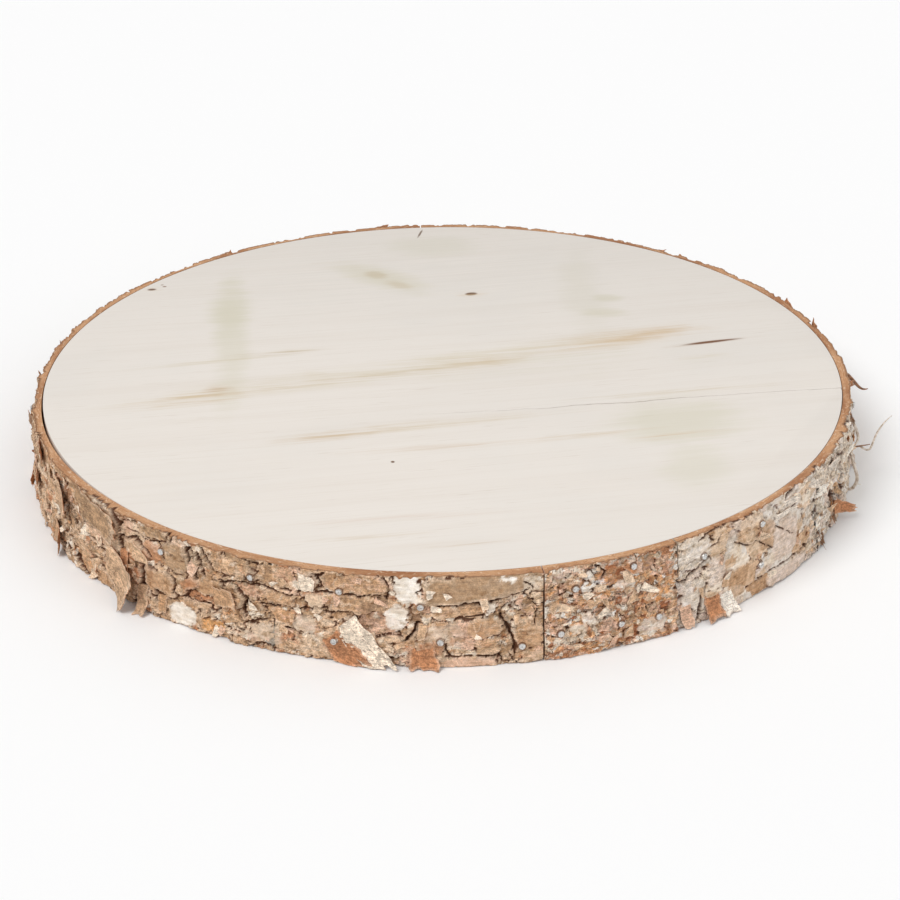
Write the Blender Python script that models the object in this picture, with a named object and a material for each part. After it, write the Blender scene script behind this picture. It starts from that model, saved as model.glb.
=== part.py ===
"""A round wood slice of the kind sold for table settings: a sawn disc of pale wood, edged with birch bark.

The disc is one flat piece whose grain runs across it. Two long strips of bark and a short filler strip are
bent round its edge, butted end to end, and held by round-headed wire nails driven in towards the centre.
Loose flakes of the bark stand out from the strips.

Places on the edge are given as an angle and a height. The angle is in degrees round +Z from +X, so the
front of the slice, facing -Y, is at -90. The height is above the underside. Lengths are in metres.
"""

import math
from dataclasses import dataclass

import bmesh
import bpy
from mathutils import Matrix, Vector, noise

MM = 0.001

# The disc and the fit between pieces.
DISC_RADIUS = 193.0 * MM
SLICE_HEIGHT = 42.0 * MM
PIECE_GAP = 0.3 * MM
DISC_SEGMENTS = 120

# The bark, measured outwards from its inner face. It is thicker at the foot, where it flares.
BARK_INNER_RADIUS = DISC_RADIUS + PIECE_GAP
BARK_THICKNESS_TOP = 4.0 * MM
BARK_THICKNESS_FOOT = 6.1 * MM
BARK_COLUMN = 6.6 * MM
BARK_ROWS = 6
RELIEF_BROAD = 1.1 * MM
RELIEF_FINE = 0.6 * MM

# Where the strips butt together, and the slack in the left strip, which stands off the disc there.
FRONT_SEAM = -78.2
PATCH_SEAM = -60.4
BACK_SEAM = 93.4
SEAM_HALF_GAP = 0.35 * MM
SLACK_ANGLE = -157.0
SLACK_SPREAD = 24.0
SLACK = 1.1 * MM

# The wire nails.
NAIL_HEAD_RADIUS = 1.4 * MM
NAIL_HEAD_THICKNESS = 0.7 * MM
NAIL_SHANK_RADIUS = 0.8 * MM
NAIL_SHANK_LENGTH = 19.0 * MM
NAIL_POINT_LENGTH = 2.0 * MM
NAIL_SIDES = 10
UPPER_ROW = 33.0 * MM
LOWER_ROW = 10.0 * MM

FLAKE_ROOT_DEPTH = 1.8 * MM


@dataclass(frozen=True)
class Strip:
    """One strip of bark, from its start angle round to its end angle."""

    name: str
    start: float
    end: float
    proud: float = 0.0


@dataclass(frozen=True)
class Flake:
    """A loose flake. Its root is in the bark, and it points along `heading`: 0 is round the edge towards
    larger angles and -90 is down. `lift` is how far its tip stands off the bark."""

    angle: float
    height: float
    heading: float
    length: float
    root_width: float
    tip_width: float
    lift: float
    thickness: float = 1.2 * MM


STRIPS = (
    Strip("bark_strip_left", BACK_SEAM - 360.0, FRONT_SEAM),
    Strip("bark_filler_strip", FRONT_SEAM, PATCH_SEAM, proud=0.6 * MM),
    Strip("bark_strip_right", PATCH_SEAM, BACK_SEAM),
)

FLAKES = {
    "bark_strip_left": (
        Flake(-145.5, 34.5 * MM, 0, 35 * MM, 13 * MM, 12 * MM, 2.4 * MM),
        Flake(-142.0, 12.5 * MM, -8, 27 * MM, 17 * MM, 14 * MM, 7.5 * MM),
        Flake(-131.6, 9.0 * MM, -78, 8 * MM, 8 * MM, 5 * MM, 5.5 * MM),
        Flake(-100.6, 21.0 * MM, -56, 24 * MM, 12 * MM, 11 * MM, 5.5 * MM),
        Flake(-94.0, 8.0 * MM, -84, 7.6 * MM, 13 * MM, 12 * MM, 5.0 * MM),
        Flake(-183.0, 17.0 * MM, -60, 14 * MM, 12 * MM, 8 * MM, 4.5 * MM),
        Flake(168.0 - 360.0, 35.0 * MM, 168, 11 * MM, 12 * MM, 9 * MM, 5.0 * MM),
        Flake(128.5 - 360.0, 34.0 * MM, 172, 11 * MM, 12 * MM, 8 * MM, 3.0 * MM),
    ),
    "bark_filler_strip": (),
    "bark_strip_right": (
        Flake(-53.6, 12.5 * MM, -84, 12 * MM, 19 * MM, 17 * MM, 7.5 * MM),
        Flake(-59.0, 9.5 * MM, -86, 8.5 * MM, 6 * MM, 5 * MM, 3.5 * MM),
        Flake(-24.5, 12.5 * MM, 6, 13 * MM, 10 * MM, 6 * MM, 11.0 * MM),
        Flake(3.0, 36.0 * MM, 20, 8 * MM, 7 * MM, 3 * MM, 4.5 * MM),
        Flake(22.0, 34.0 * MM, 8, 12 * MM, 11 * MM, 8 * MM, 3.5 * MM),
        Flake(46.0, 34.5 * MM, 4, 10 * MM, 10 * MM, 7 * MM, 3.2 * MM),
    ),
}

# Nails across the front, as (angle, height), then where the even rows begin and end on each long strip.
FRONT_NAILS = {
    "bark_strip_left": (
        (-127.2, UPPER_ROW),
        (-113.9, 33.7 * MM),
        (-102.6, 33.8 * MM),
        (-92.9, 29.0 * MM),
        (-103.4, LOWER_ROW),
        (-90.6, 12.6 * MM),
        (-80.9, 8.4 * MM),
    ),
    "bark_filler_strip": (
        (-74.4, 32.5 * MM),
        (-76.2, 12.4 * MM),
        (-66.9, 37.5 * MM),
        (-68.5, 11.8 * MM),
        (-63.4, 10.9 * MM),
    ),
    "bark_strip_right": (
        (-56.6, 32.0 * MM),
        (-46.6, 35.2 * MM),
        (-46.5, 15.0 * MM),
    ),
}
NAIL_ROWS = {
    "bark_strip_left": ((UPPER_ROW, -174.0, -262.5, 8), (LOWER_ROW, -176.0, -262.5, 6)),
    "bark_strip_right": ((UPPER_ROW, -8.0, 89.5, 9), (LOWER_ROW, -4.0, 89.5, 6)),
}
# How far a row's neighbours are staggered up and down, so that no two nails split one line of grain.
ROW_STAGGER = 1.2 * MM


def clear_scene():
    """Removes whatever the scene holds."""
    for obj in list(bpy.data.objects):
        bpy.data.objects.remove(obj)


def material(name, colour, roughness, metallic=0.0):
    """A Principled material of one colour."""
    made = bpy.data.materials.new(name)
    made.use_nodes = True
    shader = made.node_tree.nodes["Principled BSDF"]
    shader.inputs["Base Color"].default_value = (*colour, 1.0)
    shader.inputs["Roughness"].default_value = roughness
    shader.inputs["Metallic"].default_value = metallic
    return made


def face_outwards(mesh_data):
    """Turns the faces of a closed mesh to face out of it."""
    bmesh.ops.recalc_face_normals(mesh_data, faces=mesh_data.faces[:])
    if mesh_data.calc_volume(signed=True) < 0.0:
        bmesh.ops.reverse_faces(mesh_data, faces=mesh_data.faces[:])


def add_object(name, mesh_data, finish):
    """A new object from a bmesh, which it frees, in the scene and with its material."""
    mesh = bpy.data.meshes.new(name)
    mesh_data.to_mesh(mesh)
    mesh_data.free()
    mesh.materials.append(finish)
    obj = bpy.data.objects.new(name, mesh)
    bpy.context.scene.collection.objects.link(obj)
    return obj


def helper(name, mesh_data):
    """A cutter or an added shape for a Boolean, which isn't part of the object."""
    mesh = bpy.data.meshes.new(name)
    mesh_data.to_mesh(mesh)
    mesh_data.free()
    obj = bpy.data.objects.new(name, mesh)
    obj.hide_render = True
    obj.display_type = "WIRE"
    bpy.context.scene.collection.objects.link(obj)
    return obj


def combine(obj, other, operation):
    """Adds an exact Boolean of this object with a helper."""
    modifier = obj.modifiers.new(operation.title(), "BOOLEAN")
    modifier.operation = operation
    modifier.object = other
    modifier.solver = "EXACT"


def on_edge(angle, radius, height):
    """The point at an angle in degrees, a distance from the axis and a height."""
    turn = math.radians(angle)
    return Vector((radius * math.cos(turn), radius * math.sin(turn), height))


def inner_radius(angle):
    """Radius of the bark's inner face. The left strip bulges off the disc where it is slack."""
    away = (angle - SLACK_ANGLE + 180.0) % 360.0 - 180.0
    if abs(away) >= SLACK_SPREAD:
        return BARK_INNER_RADIUS
    share = 0.5 + 0.5 * math.cos(math.pi * away / SLACK_SPREAD)
    return BARK_INNER_RADIUS + SLACK * share


def outer_radius(angle, height, proud=0.0):
    """Radius of the bark's rough face, with its broad plates and the finer bumps on them."""
    around = math.radians(angle) * DISC_RADIUS
    broad = noise.noise(Vector((around / 0.024, height / 0.013, 3.7)))
    fine = noise.noise(Vector((around / 0.009, height / 0.007, 9.1)))
    up = height / SLICE_HEIGHT
    thickness = BARK_THICKNESS_FOOT + (BARK_THICKNESS_TOP - BARK_THICKNESS_FOOT) * up
    return inner_radius(angle) + thickness + proud + RELIEF_BROAD * broad + RELIEF_FINE * fine


def angle_of(length):
    """The angle in degrees that a length takes round the bark."""
    return math.degrees(length / BARK_INNER_RADIUS)


def strip_body(strip):
    """The closed band of one strip: a flat back, a rough front, and sawn top, foot and ends."""
    start = strip.start + angle_of(SEAM_HALF_GAP)
    end = strip.end - angle_of(SEAM_HALF_GAP)
    columns = max(2, round((end - start) / angle_of(BARK_COLUMN)))
    mesh_data = bmesh.new()
    loops = []
    for i in range(columns + 1):
        angle = start + (end - start) * i / columns
        inside = inner_radius(angle)
        loop = [
            mesh_data.verts.new(on_edge(angle, inside, SLICE_HEIGHT)),
            mesh_data.verts.new(on_edge(angle, inside, 0.0)),
        ]
        for j in range(BARK_ROWS + 1):
            height = SLICE_HEIGHT * j / BARK_ROWS
            point = on_edge(angle, outer_radius(angle, height, strip.proud), height)
            loop.append(mesh_data.verts.new(point))
        loops.append(loop)
    for first, second in zip(loops, loops[1:]):
        for k in range(len(first)):
            after = (k + 1) % len(first)
            mesh_data.faces.new((first[k], second[k], second[after], first[after]))
    mesh_data.faces.new(loops[0])
    mesh_data.faces.new(list(reversed(loops[-1])))
    bmesh.ops.triangulate(mesh_data, faces=mesh_data.faces[:])
    face_outwards(mesh_data)
    return mesh_data


def flake_shape(flake, mesh_data):
    """Adds one curled flake to a mesh, as a closed sheet that leaves the bark more steeply towards its tip."""
    along_steps, across_steps, curl = 4, 2, 1.7
    heading = math.radians(flake.heading)
    root_radius = outer_radius(flake.angle, flake.height) - FLAKE_ROOT_DEPTH
    rise = flake.lift + FLAKE_ROOT_DEPTH
    grid = {}
    for i in range(along_steps + 1):
        share = i / along_steps
        width = flake.root_width + (flake.tip_width - flake.root_width) * share
        radius = root_radius + rise * share**curl
        for j in range(across_steps + 1):
            across = width * (j / across_steps - 0.5)
            forward = flake.length * share
            around = forward * math.cos(heading) - across * math.sin(heading)
            up = forward * math.sin(heading) + across * math.cos(heading)
            angle = flake.angle + angle_of(around)
            height = min(max(flake.height + up, 0.6 * MM), SLICE_HEIGHT - 0.6 * MM)
            for face, depth in (("out", 0.0), ("in", flake.thickness)):
                grid[face, i, j] = mesh_data.verts.new(on_edge(angle, radius - depth, height))
    for i in range(along_steps):
        for j in range(across_steps):
            corners = ((i, j), (i + 1, j), (i + 1, j + 1), (i, j + 1))
            mesh_data.faces.new([grid["out", a, b] for a, b in corners])
            mesh_data.faces.new([grid["in", a, b] for a, b in reversed(corners)])
    rim = [(i, 0) for i in range(along_steps)]
    rim += [(along_steps, j) for j in range(across_steps)]
    rim += [(i, across_steps) for i in range(along_steps, 0, -1)]
    rim += [(0, j) for j in range(across_steps, 0, -1)]
    for (a, b), (c, d) in zip(rim, rim[1:] + rim[:1]):
        mesh_data.faces.new((grid["in", a, b], grid["in", c, d], grid["out", c, d], grid["out", a, b]))


def flakes_of(strip):
    """All the flakes of one strip as one helper, or None."""
    if not FLAKES[strip.name]:
        return None
    mesh_data = bmesh.new()
    for flake in FLAKES[strip.name]:
        flake_shape(flake, mesh_data)
    bmesh.ops.triangulate(mesh_data, faces=mesh_data.faces[:])
    face_outwards(mesh_data)
    return helper(strip.name + "_flakes", mesh_data)


def seat_radius(angle, height, proud):
    """Where a nail's head sits: just clear of the highest bark under and around it."""
    reach = BARK_COLUMN
    turns = [angle + angle_of(reach * i / 2) for i in range(-3, 4)]
    levels = [min(max(height + reach * j / 2, 0.0), SLICE_HEIGHT) for j in range(-3, 4)]
    return max(outer_radius(a, h, proud) for a in turns for h in levels) + PIECE_GAP


def turned(profile, sides):
    """A closed solid turned about +X from (along, radius) points, which run from tip to crown."""
    mesh_data = bmesh.new()
    rings = []
    for along, radius in profile:
        if radius == 0.0:
            rings.append([mesh_data.verts.new((along, 0.0, 0.0))])
            continue
        turns = [2 * math.pi * k / sides for k in range(sides)]
        rings.append([mesh_data.verts.new((along, radius * math.cos(t), radius * math.sin(t))) for t in turns])
    for first, second in zip(rings, rings[1:]):
        for k in range(sides):
            after = (k + 1) % sides
            corners = [first[k % len(first)], first[after % len(first)]]
            corners += [second[after % len(second)], second[k % len(second)]]
            mesh_data.faces.new(list(dict.fromkeys(corners)))
    if len(rings[-1]) > 1:
        mesh_data.faces.new(rings[-1])
    if len(rings[0]) > 1:
        mesh_data.faces.new(list(reversed(rings[0])))
    face_outwards(mesh_data)
    return mesh_data


def nail_places(strip):
    """Every nail of one strip as (angle, height): those across the front, then the even rows."""
    places = list(FRONT_NAILS[strip.name])
    for height, first, last, count in NAIL_ROWS.get(strip.name, ()):
        for i in range(count):
            angle = first + (last - first) * i / (count - 1)
            places.append((angle, height + ROW_STAGGER * (-1) ** i))
    return places


def nail_frame(angle, height, radius):
    """Turns +X outwards at an angle and puts the origin under the nail's head."""
    return Matrix.Translation(on_edge(angle, radius, height)) @ Matrix.Rotation(math.radians(angle), 4, "Z")


def nails_of(strip, first_number, finish):
    """Drives the nails of one strip, and returns them with the helper that bores their holes."""
    profile = (
        (-NAIL_SHANK_LENGTH, 0.0),
        (-NAIL_SHANK_LENGTH + NAIL_POINT_LENGTH, NAIL_SHANK_RADIUS),
        (0.0, NAIL_SHANK_RADIUS),
        (0.0, NAIL_HEAD_RADIUS),
        (NAIL_HEAD_THICKNESS, NAIL_HEAD_RADIUS),
    )
    bore_radius = NAIL_SHANK_RADIUS + PIECE_GAP
    bore = ((-NAIL_SHANK_LENGTH - 1 * MM, bore_radius), (4 * MM, bore_radius))
    bores = bmesh.new()
    for i, (angle, height) in enumerate(nail_places(strip)):
        frame = nail_frame(angle, height, seat_radius(angle, height, strip.proud))
        nail = add_object(f"nail_{first_number + i:02d}", turned(profile, NAIL_SIDES), finish)
        nail.matrix_world = frame
        nail.data.shade_smooth()
        nail.data.set_sharp_from_angle(angle=math.radians(40))
        one = turned(bore, NAIL_SIDES)
        one.transform(frame)
        spare = bpy.data.meshes.new("bore")
        one.to_mesh(spare)
        one.free()
        bores.from_mesh(spare)
        bpy.data.meshes.remove(spare)
    return helper(strip.name + "_bores", bores)


def wood_disc(finish):
    """The sawn disc, standing on the origin."""
    mesh_data = bmesh.new()
    bmesh.ops.create_cone(
        mesh_data,
        cap_ends=True,
        segments=DISC_SEGMENTS,
        radius1=DISC_RADIUS,
        radius2=DISC_RADIUS,
        depth=SLICE_HEIGHT,
    )
    bmesh.ops.translate(mesh_data, verts=mesh_data.verts, vec=(0.0, 0.0, SLICE_HEIGHT / 2))
    disc = add_object("wood_disc", mesh_data, finish)
    disc.data.shade_smooth()
    disc.data.set_sharp_from_angle(angle=math.radians(40))
    return disc


def main():
    clear_scene()
    pale_wood = material("pale_wood", (0.80, 0.75, 0.66), 0.6)
    bark = material("birch_bark", (0.42, 0.31, 0.22), 0.85)
    steel = material("nail_steel", (0.62, 0.63, 0.66), 0.35, metallic=1.0)
    disc = wood_disc(pale_wood)
    number = 1
    for strip in STRIPS:
        band = add_object(strip.name, strip_body(strip), bark)
        loose = flakes_of(strip)
        if loose:
            combine(band, loose, "UNION")
        bores = nails_of(strip, number, steel)
        combine(band, bores, "DIFFERENCE")
        combine(disc, bores, "DIFFERENCE")
        number += len(nail_places(strip))


main()
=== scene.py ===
"""Looks of a bark-edged wood slice: pale sawn wood, rough birch bark in strips, and small wire nails.

Places on the edge are given as an angle and a height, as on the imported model: the angle in degrees round +Z
from +X, so that the front is at -90, and the height in millimetres above the underside. Relief is measured in
millimetres outwards from the bark's mean face.
"""

import logging
import math
from dataclasses import dataclass, field
from enum import Enum

import bmesh
import bpy
import numpy as np
from mathutils import Matrix, Vector


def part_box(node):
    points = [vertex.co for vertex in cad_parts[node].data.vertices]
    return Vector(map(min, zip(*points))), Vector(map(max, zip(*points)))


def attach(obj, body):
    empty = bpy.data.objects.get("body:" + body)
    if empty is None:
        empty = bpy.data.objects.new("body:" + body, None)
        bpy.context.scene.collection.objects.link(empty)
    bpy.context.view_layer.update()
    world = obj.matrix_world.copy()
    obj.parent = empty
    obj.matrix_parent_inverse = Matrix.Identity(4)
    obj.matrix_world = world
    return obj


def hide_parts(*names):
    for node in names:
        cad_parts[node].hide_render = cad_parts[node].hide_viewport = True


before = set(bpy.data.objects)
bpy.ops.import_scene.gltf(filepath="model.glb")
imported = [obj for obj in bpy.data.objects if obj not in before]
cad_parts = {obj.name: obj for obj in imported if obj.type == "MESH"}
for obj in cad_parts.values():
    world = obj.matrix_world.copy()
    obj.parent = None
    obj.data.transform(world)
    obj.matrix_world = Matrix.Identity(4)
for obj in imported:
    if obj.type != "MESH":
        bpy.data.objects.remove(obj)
log = logging.getLogger("wood_slice")

# The types used most. An Rgb is a colour as sRGB, of 0 to 255.
Array = np.ndarray
Piece = bpy.types.Object
Finish = bpy.types.Material
Socket = bpy.types.NodeSocket
Rgb = tuple[int, int, int]

MM = 0.001
DISC_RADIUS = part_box("wood_disc")[1].x / MM
SLICE_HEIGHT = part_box("wood_disc")[1].z / MM
PIECE_GAP = 0.3

# Radii of the bark's back and of its face, along which lengths on the bark are measured.
BARK_INNER = DISC_RADIUS + PIECE_GAP
FACE_RADIUS = DISC_RADIUS + 5.0

# Where the strips butt together, and the place where the left one stands off the disc.
FRONT_SEAM = -78.2
FILLER_SEAM = -60.4
BACK_SEAM = 93.4
SEAM_HALF_GAP = 0.35
SLACK_ANGLE = -157.0
SLACK_SPREAD = 24.0
SLACK = 1.1

# The bark's mean thickness at the top and at the foot, where it flares.
THICKNESS_TOP = 3.8
THICKNESS_FOOT = 6.0

# How near the floor loose bark may hang, and the height below which it is eased up.
FLOOR_CLEARANCE = 0.2
FLOOR_REACH = 1.2


# Small tools ---------------------------------------------------------------------------------------------


def linear(red: float, green: float, blue: float) -> tuple[float, float, float]:
    """Turns an sRGB colour of 0 to 255 into a linear one of 0 to 1."""
    parts = [c / 255.0 for c in (red, green, blue)]
    return tuple(c / 12.92 if c <= 0.04045 else ((c + 0.055) / 1.055) ** 2.4 for c in parts)


def mix(a: Array, b: Array, share: Array) -> Array:
    """Blends a into b by a share of 0 to 1."""
    return a + (b - a) * share


def ramp(x: Array, low: float, high: float) -> Array:
    """Rises smoothly from 0 at low to 1 at high."""
    t = np.clip((x - low) / (high - low), 0.0, 1.0)
    return t * t * (3.0 - 2.0 * t)


def lattice(i: Array, j: Array, seed: int) -> Array:
    """A fixed value of 0 to 1 for each whole-numbered point, which looks random.

    Args:
        i: the points' columns.
        j: their rows.
        seed: picks one pattern.

    Returns:
        One value for each point.
    """
    mask = 0xFFFFFFFF
    h = (i.astype(np.int64) * 374761393 + j.astype(np.int64) * 668265263 + seed * 974634777) & mask
    h = ((h ^ (h >> 13)) * 1274126177) & mask
    h = ((h ^ (h >> 15)) * 461845907) & mask
    return ((h ^ (h >> 16)) & 0xFFFFFF) / 0x1000000


def wave(x: Array, y: Array, seed: int) -> Array:
    """Smooth noise of -1 to 1 with one bump to each unit.

    Args:
        x: places along the first axis.
        y: places along the second axis.
        seed: picks one pattern.

    Returns:
        The noise at each place.
    """
    i, j = np.floor(x), np.floor(y)
    u, v = x - i, y - j
    u, v = u * u * (3 - 2 * u), v * v * (3 - 2 * v)
    low = mix(lattice(i, j, seed), lattice(i + 1, j, seed), u)
    high = mix(lattice(i, j + 1, seed), lattice(i + 1, j + 1, seed), u)
    return 2.0 * mix(low, high, v) - 1.0


@dataclass
class Cells:
    """The broken plate that each point lies on.

    Attributes:
        edge: distance to the nearest neighbouring plate, in cell units.
        east: place on the plate, along the first axis.
        north: place on the plate, along the second axis.
        i: the plate's column.
        j: the plate's row.
    """

    edge: Array
    east: Array
    north: Array
    i: Array
    j: Array

    def chance(self, seed: int) -> Array:
        """A value of 0 to 1 that is the same all over a plate."""
        return lattice(self.i, self.j, seed)


def break_up(x: Array, y: Array, seed: int) -> Cells:
    """Breaks a sheet into irregular plates about one unit across.

    Args:
        x: places along the first axis.
        y: places along the second axis.
        seed: picks one pattern.

    Returns:
        What plate each place is on.
    """
    shape = np.broadcast(x, y).shape
    best, second = np.full(shape, 9.0), np.full(shape, 9.0)
    east, north = np.zeros(shape), np.zeros(shape)
    own_i, own_j = np.zeros(shape), np.zeros(shape)
    for step_y in (-1, 0, 1):
        for step_x in (-1, 0, 1):
            i, j = np.floor(x) + step_x, np.floor(y) + step_y
            dx = x - i - lattice(i, j, seed)
            dy = y - j - lattice(i, j, seed + 1)
            away = np.hypot(dx, dy)
            nearer = away < best
            second = np.where(nearer, best, np.minimum(second, away))
            best = np.where(nearer, away, best)
            east, north = np.where(nearer, dx, east), np.where(nearer, dy, north)
            own_i, own_j = np.where(nearer, i, own_i), np.where(nearer, j, own_j)
    return Cells(second - best, east, north, own_i, own_j)


def soften(field_values: Array, reach: int) -> Array:
    """Averages a grid over a square of neighbours, twice, so that the blur is soft.

    Args:
        field_values: the grid.
        reach: how many neighbours count on each side.

    Returns:
        The blurred grid.
    """
    out = field_values
    for axis in (0, 1, 0, 1):
        pad = [(0, 0), (0, 0)]
        pad[axis] = (reach + 1, reach)
        total = np.cumsum(np.pad(out, pad, mode="edge"), axis=axis)
        ahead = np.take(total, range(2 * reach + 1, total.shape[axis]), axis=axis)
        behind = np.take(total, range(0, total.shape[axis] - 2 * reach - 1), axis=axis)
        out = (ahead - behind) / (2 * reach + 1)
    return out


def deselect() -> None:
    """Leaves nothing selected, in object mode."""
    if bpy.context.object and bpy.context.object.mode != "OBJECT":
        bpy.ops.object.mode_set(mode="OBJECT")
    bpy.ops.object.select_all(action="DESELECT")


def make_active(piece: Piece) -> None:
    """Selects one piece alone and makes it the active one.

    Args:
        piece: the piece.
    """
    deselect()
    piece.select_set(True)
    bpy.context.view_layer.objects.active = piece


def new_name(name: str) -> Piece:
    """Names the piece just added, and its mesh, and returns it.

    Args:
        name: the name.

    Returns:
        The piece.
    """
    piece = bpy.context.object
    piece.name = name
    piece.data.name = name
    return piece


def apply_modifiers(piece: Piece) -> None:
    """Applies a piece's modifiers in order.

    Args:
        piece: the piece.
    """
    make_active(piece)
    for modifier in list(piece.modifiers):
        bpy.ops.object.modifier_apply(modifier=modifier.name)


def face_out(piece: Piece) -> None:
    """Turns a closed piece's faces to face out of it.

    Args:
        piece: the piece.
    """
    shell = bmesh.new()
    shell.from_mesh(piece.data)
    bmesh.ops.recalc_face_normals(shell, faces=shell.faces[:])
    if shell.calc_volume(signed=True) < 0.0:
        bmesh.ops.reverse_faces(shell, faces=shell.faces[:])
    shell.to_mesh(piece.data)
    shell.free()


def smooth(piece: Piece, degrees: float) -> None:
    """Shades a piece smooth, apart from edges sharper than an angle.

    Args:
        piece: the piece.
        degrees: the angle.
    """
    make_active(piece)
    bpy.ops.object.shade_smooth_by_angle(angle=math.radians(degrees))


def settle(piece: Piece, slot: str, *nodes: str) -> None:
    """Makes a piece ride with the slice, in place of some CAD nodes.

    Args:
        piece: the piece.
        slot: not used.
        nodes: the CAD nodes that it stands for, if any.
    """
    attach(piece, "root")
    if nodes:
        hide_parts(*nodes)
    log.info("%s: %d faces", piece.name, len(piece.data.polygons))


def on_edge(angle: Array, radius: Array, height: Array) -> Array:
    """Points in metres from angles in degrees, and radii and heights in millimetres."""
    turn = np.radians(angle)
    return np.stack([radius * np.cos(turn), radius * np.sin(turn), height + 0 * turn], axis=-1) * MM


def inner_radius(angle: Array) -> Array:
    """Radius of the bark's back, which stands off the disc where the left strip is slack.

    Args:
        angle: angles in degrees.

    Returns:
        The radii in millimetres.
    """
    away = (angle - SLACK_ANGLE + 180.0) % 360.0 - 180.0
    share = np.where(np.abs(away) < SLACK_SPREAD, 0.5 + 0.5 * np.cos(np.pi * away / SLACK_SPREAD), 0.0)
    return BARK_INNER + SLACK * share


def mean_face(angle: Array, height: Array) -> Array:
    """Radius of the bark's mean outer face, from which relief is measured."""
    return inner_radius(angle) + mix(THICKNESS_FOOT, THICKNESS_TOP, height / SLICE_HEIGHT)


def ease_up(height: Array) -> Array:
    """Eases heights of less than FLOOR_REACH up, so that none comes below FLOOR_CLEARANCE.

    Args:
        height: the heights.

    Returns:
        The eased heights.
    """
    span = FLOOR_REACH - FLOOR_CLEARANCE
    eased = FLOOR_CLEARANCE + span * np.exp(np.minimum(height - FLOOR_REACH, 0.0) / span)
    return np.where(height < FLOOR_REACH, eased, height)


def set_points(mesh: bpy.types.Mesh, points: Array) -> None:
    """Moves a mesh's vertices to an array of points."""
    mesh.vertices.foreach_set("co", np.ascontiguousarray(points, np.float32).ravel())
    mesh.update()


def paint(mesh: bpy.types.Mesh, name: str, colours: Array) -> None:
    """Stores a colour for each vertex as an attribute.

    Args:
        mesh: the mesh.
        name: the attribute's name.
        colours: one row of three for each vertex.
    """
    layer = mesh.attributes.get(name) or mesh.attributes.new(name, "FLOAT_COLOR", "POINT")
    four = np.ones((len(mesh.vertices), 4), np.float32)
    four[:, :3] = colours
    layer.data.foreach_set("color", four.ravel())


# Materials -----------------------------------------------------------------------------------------------


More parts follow.
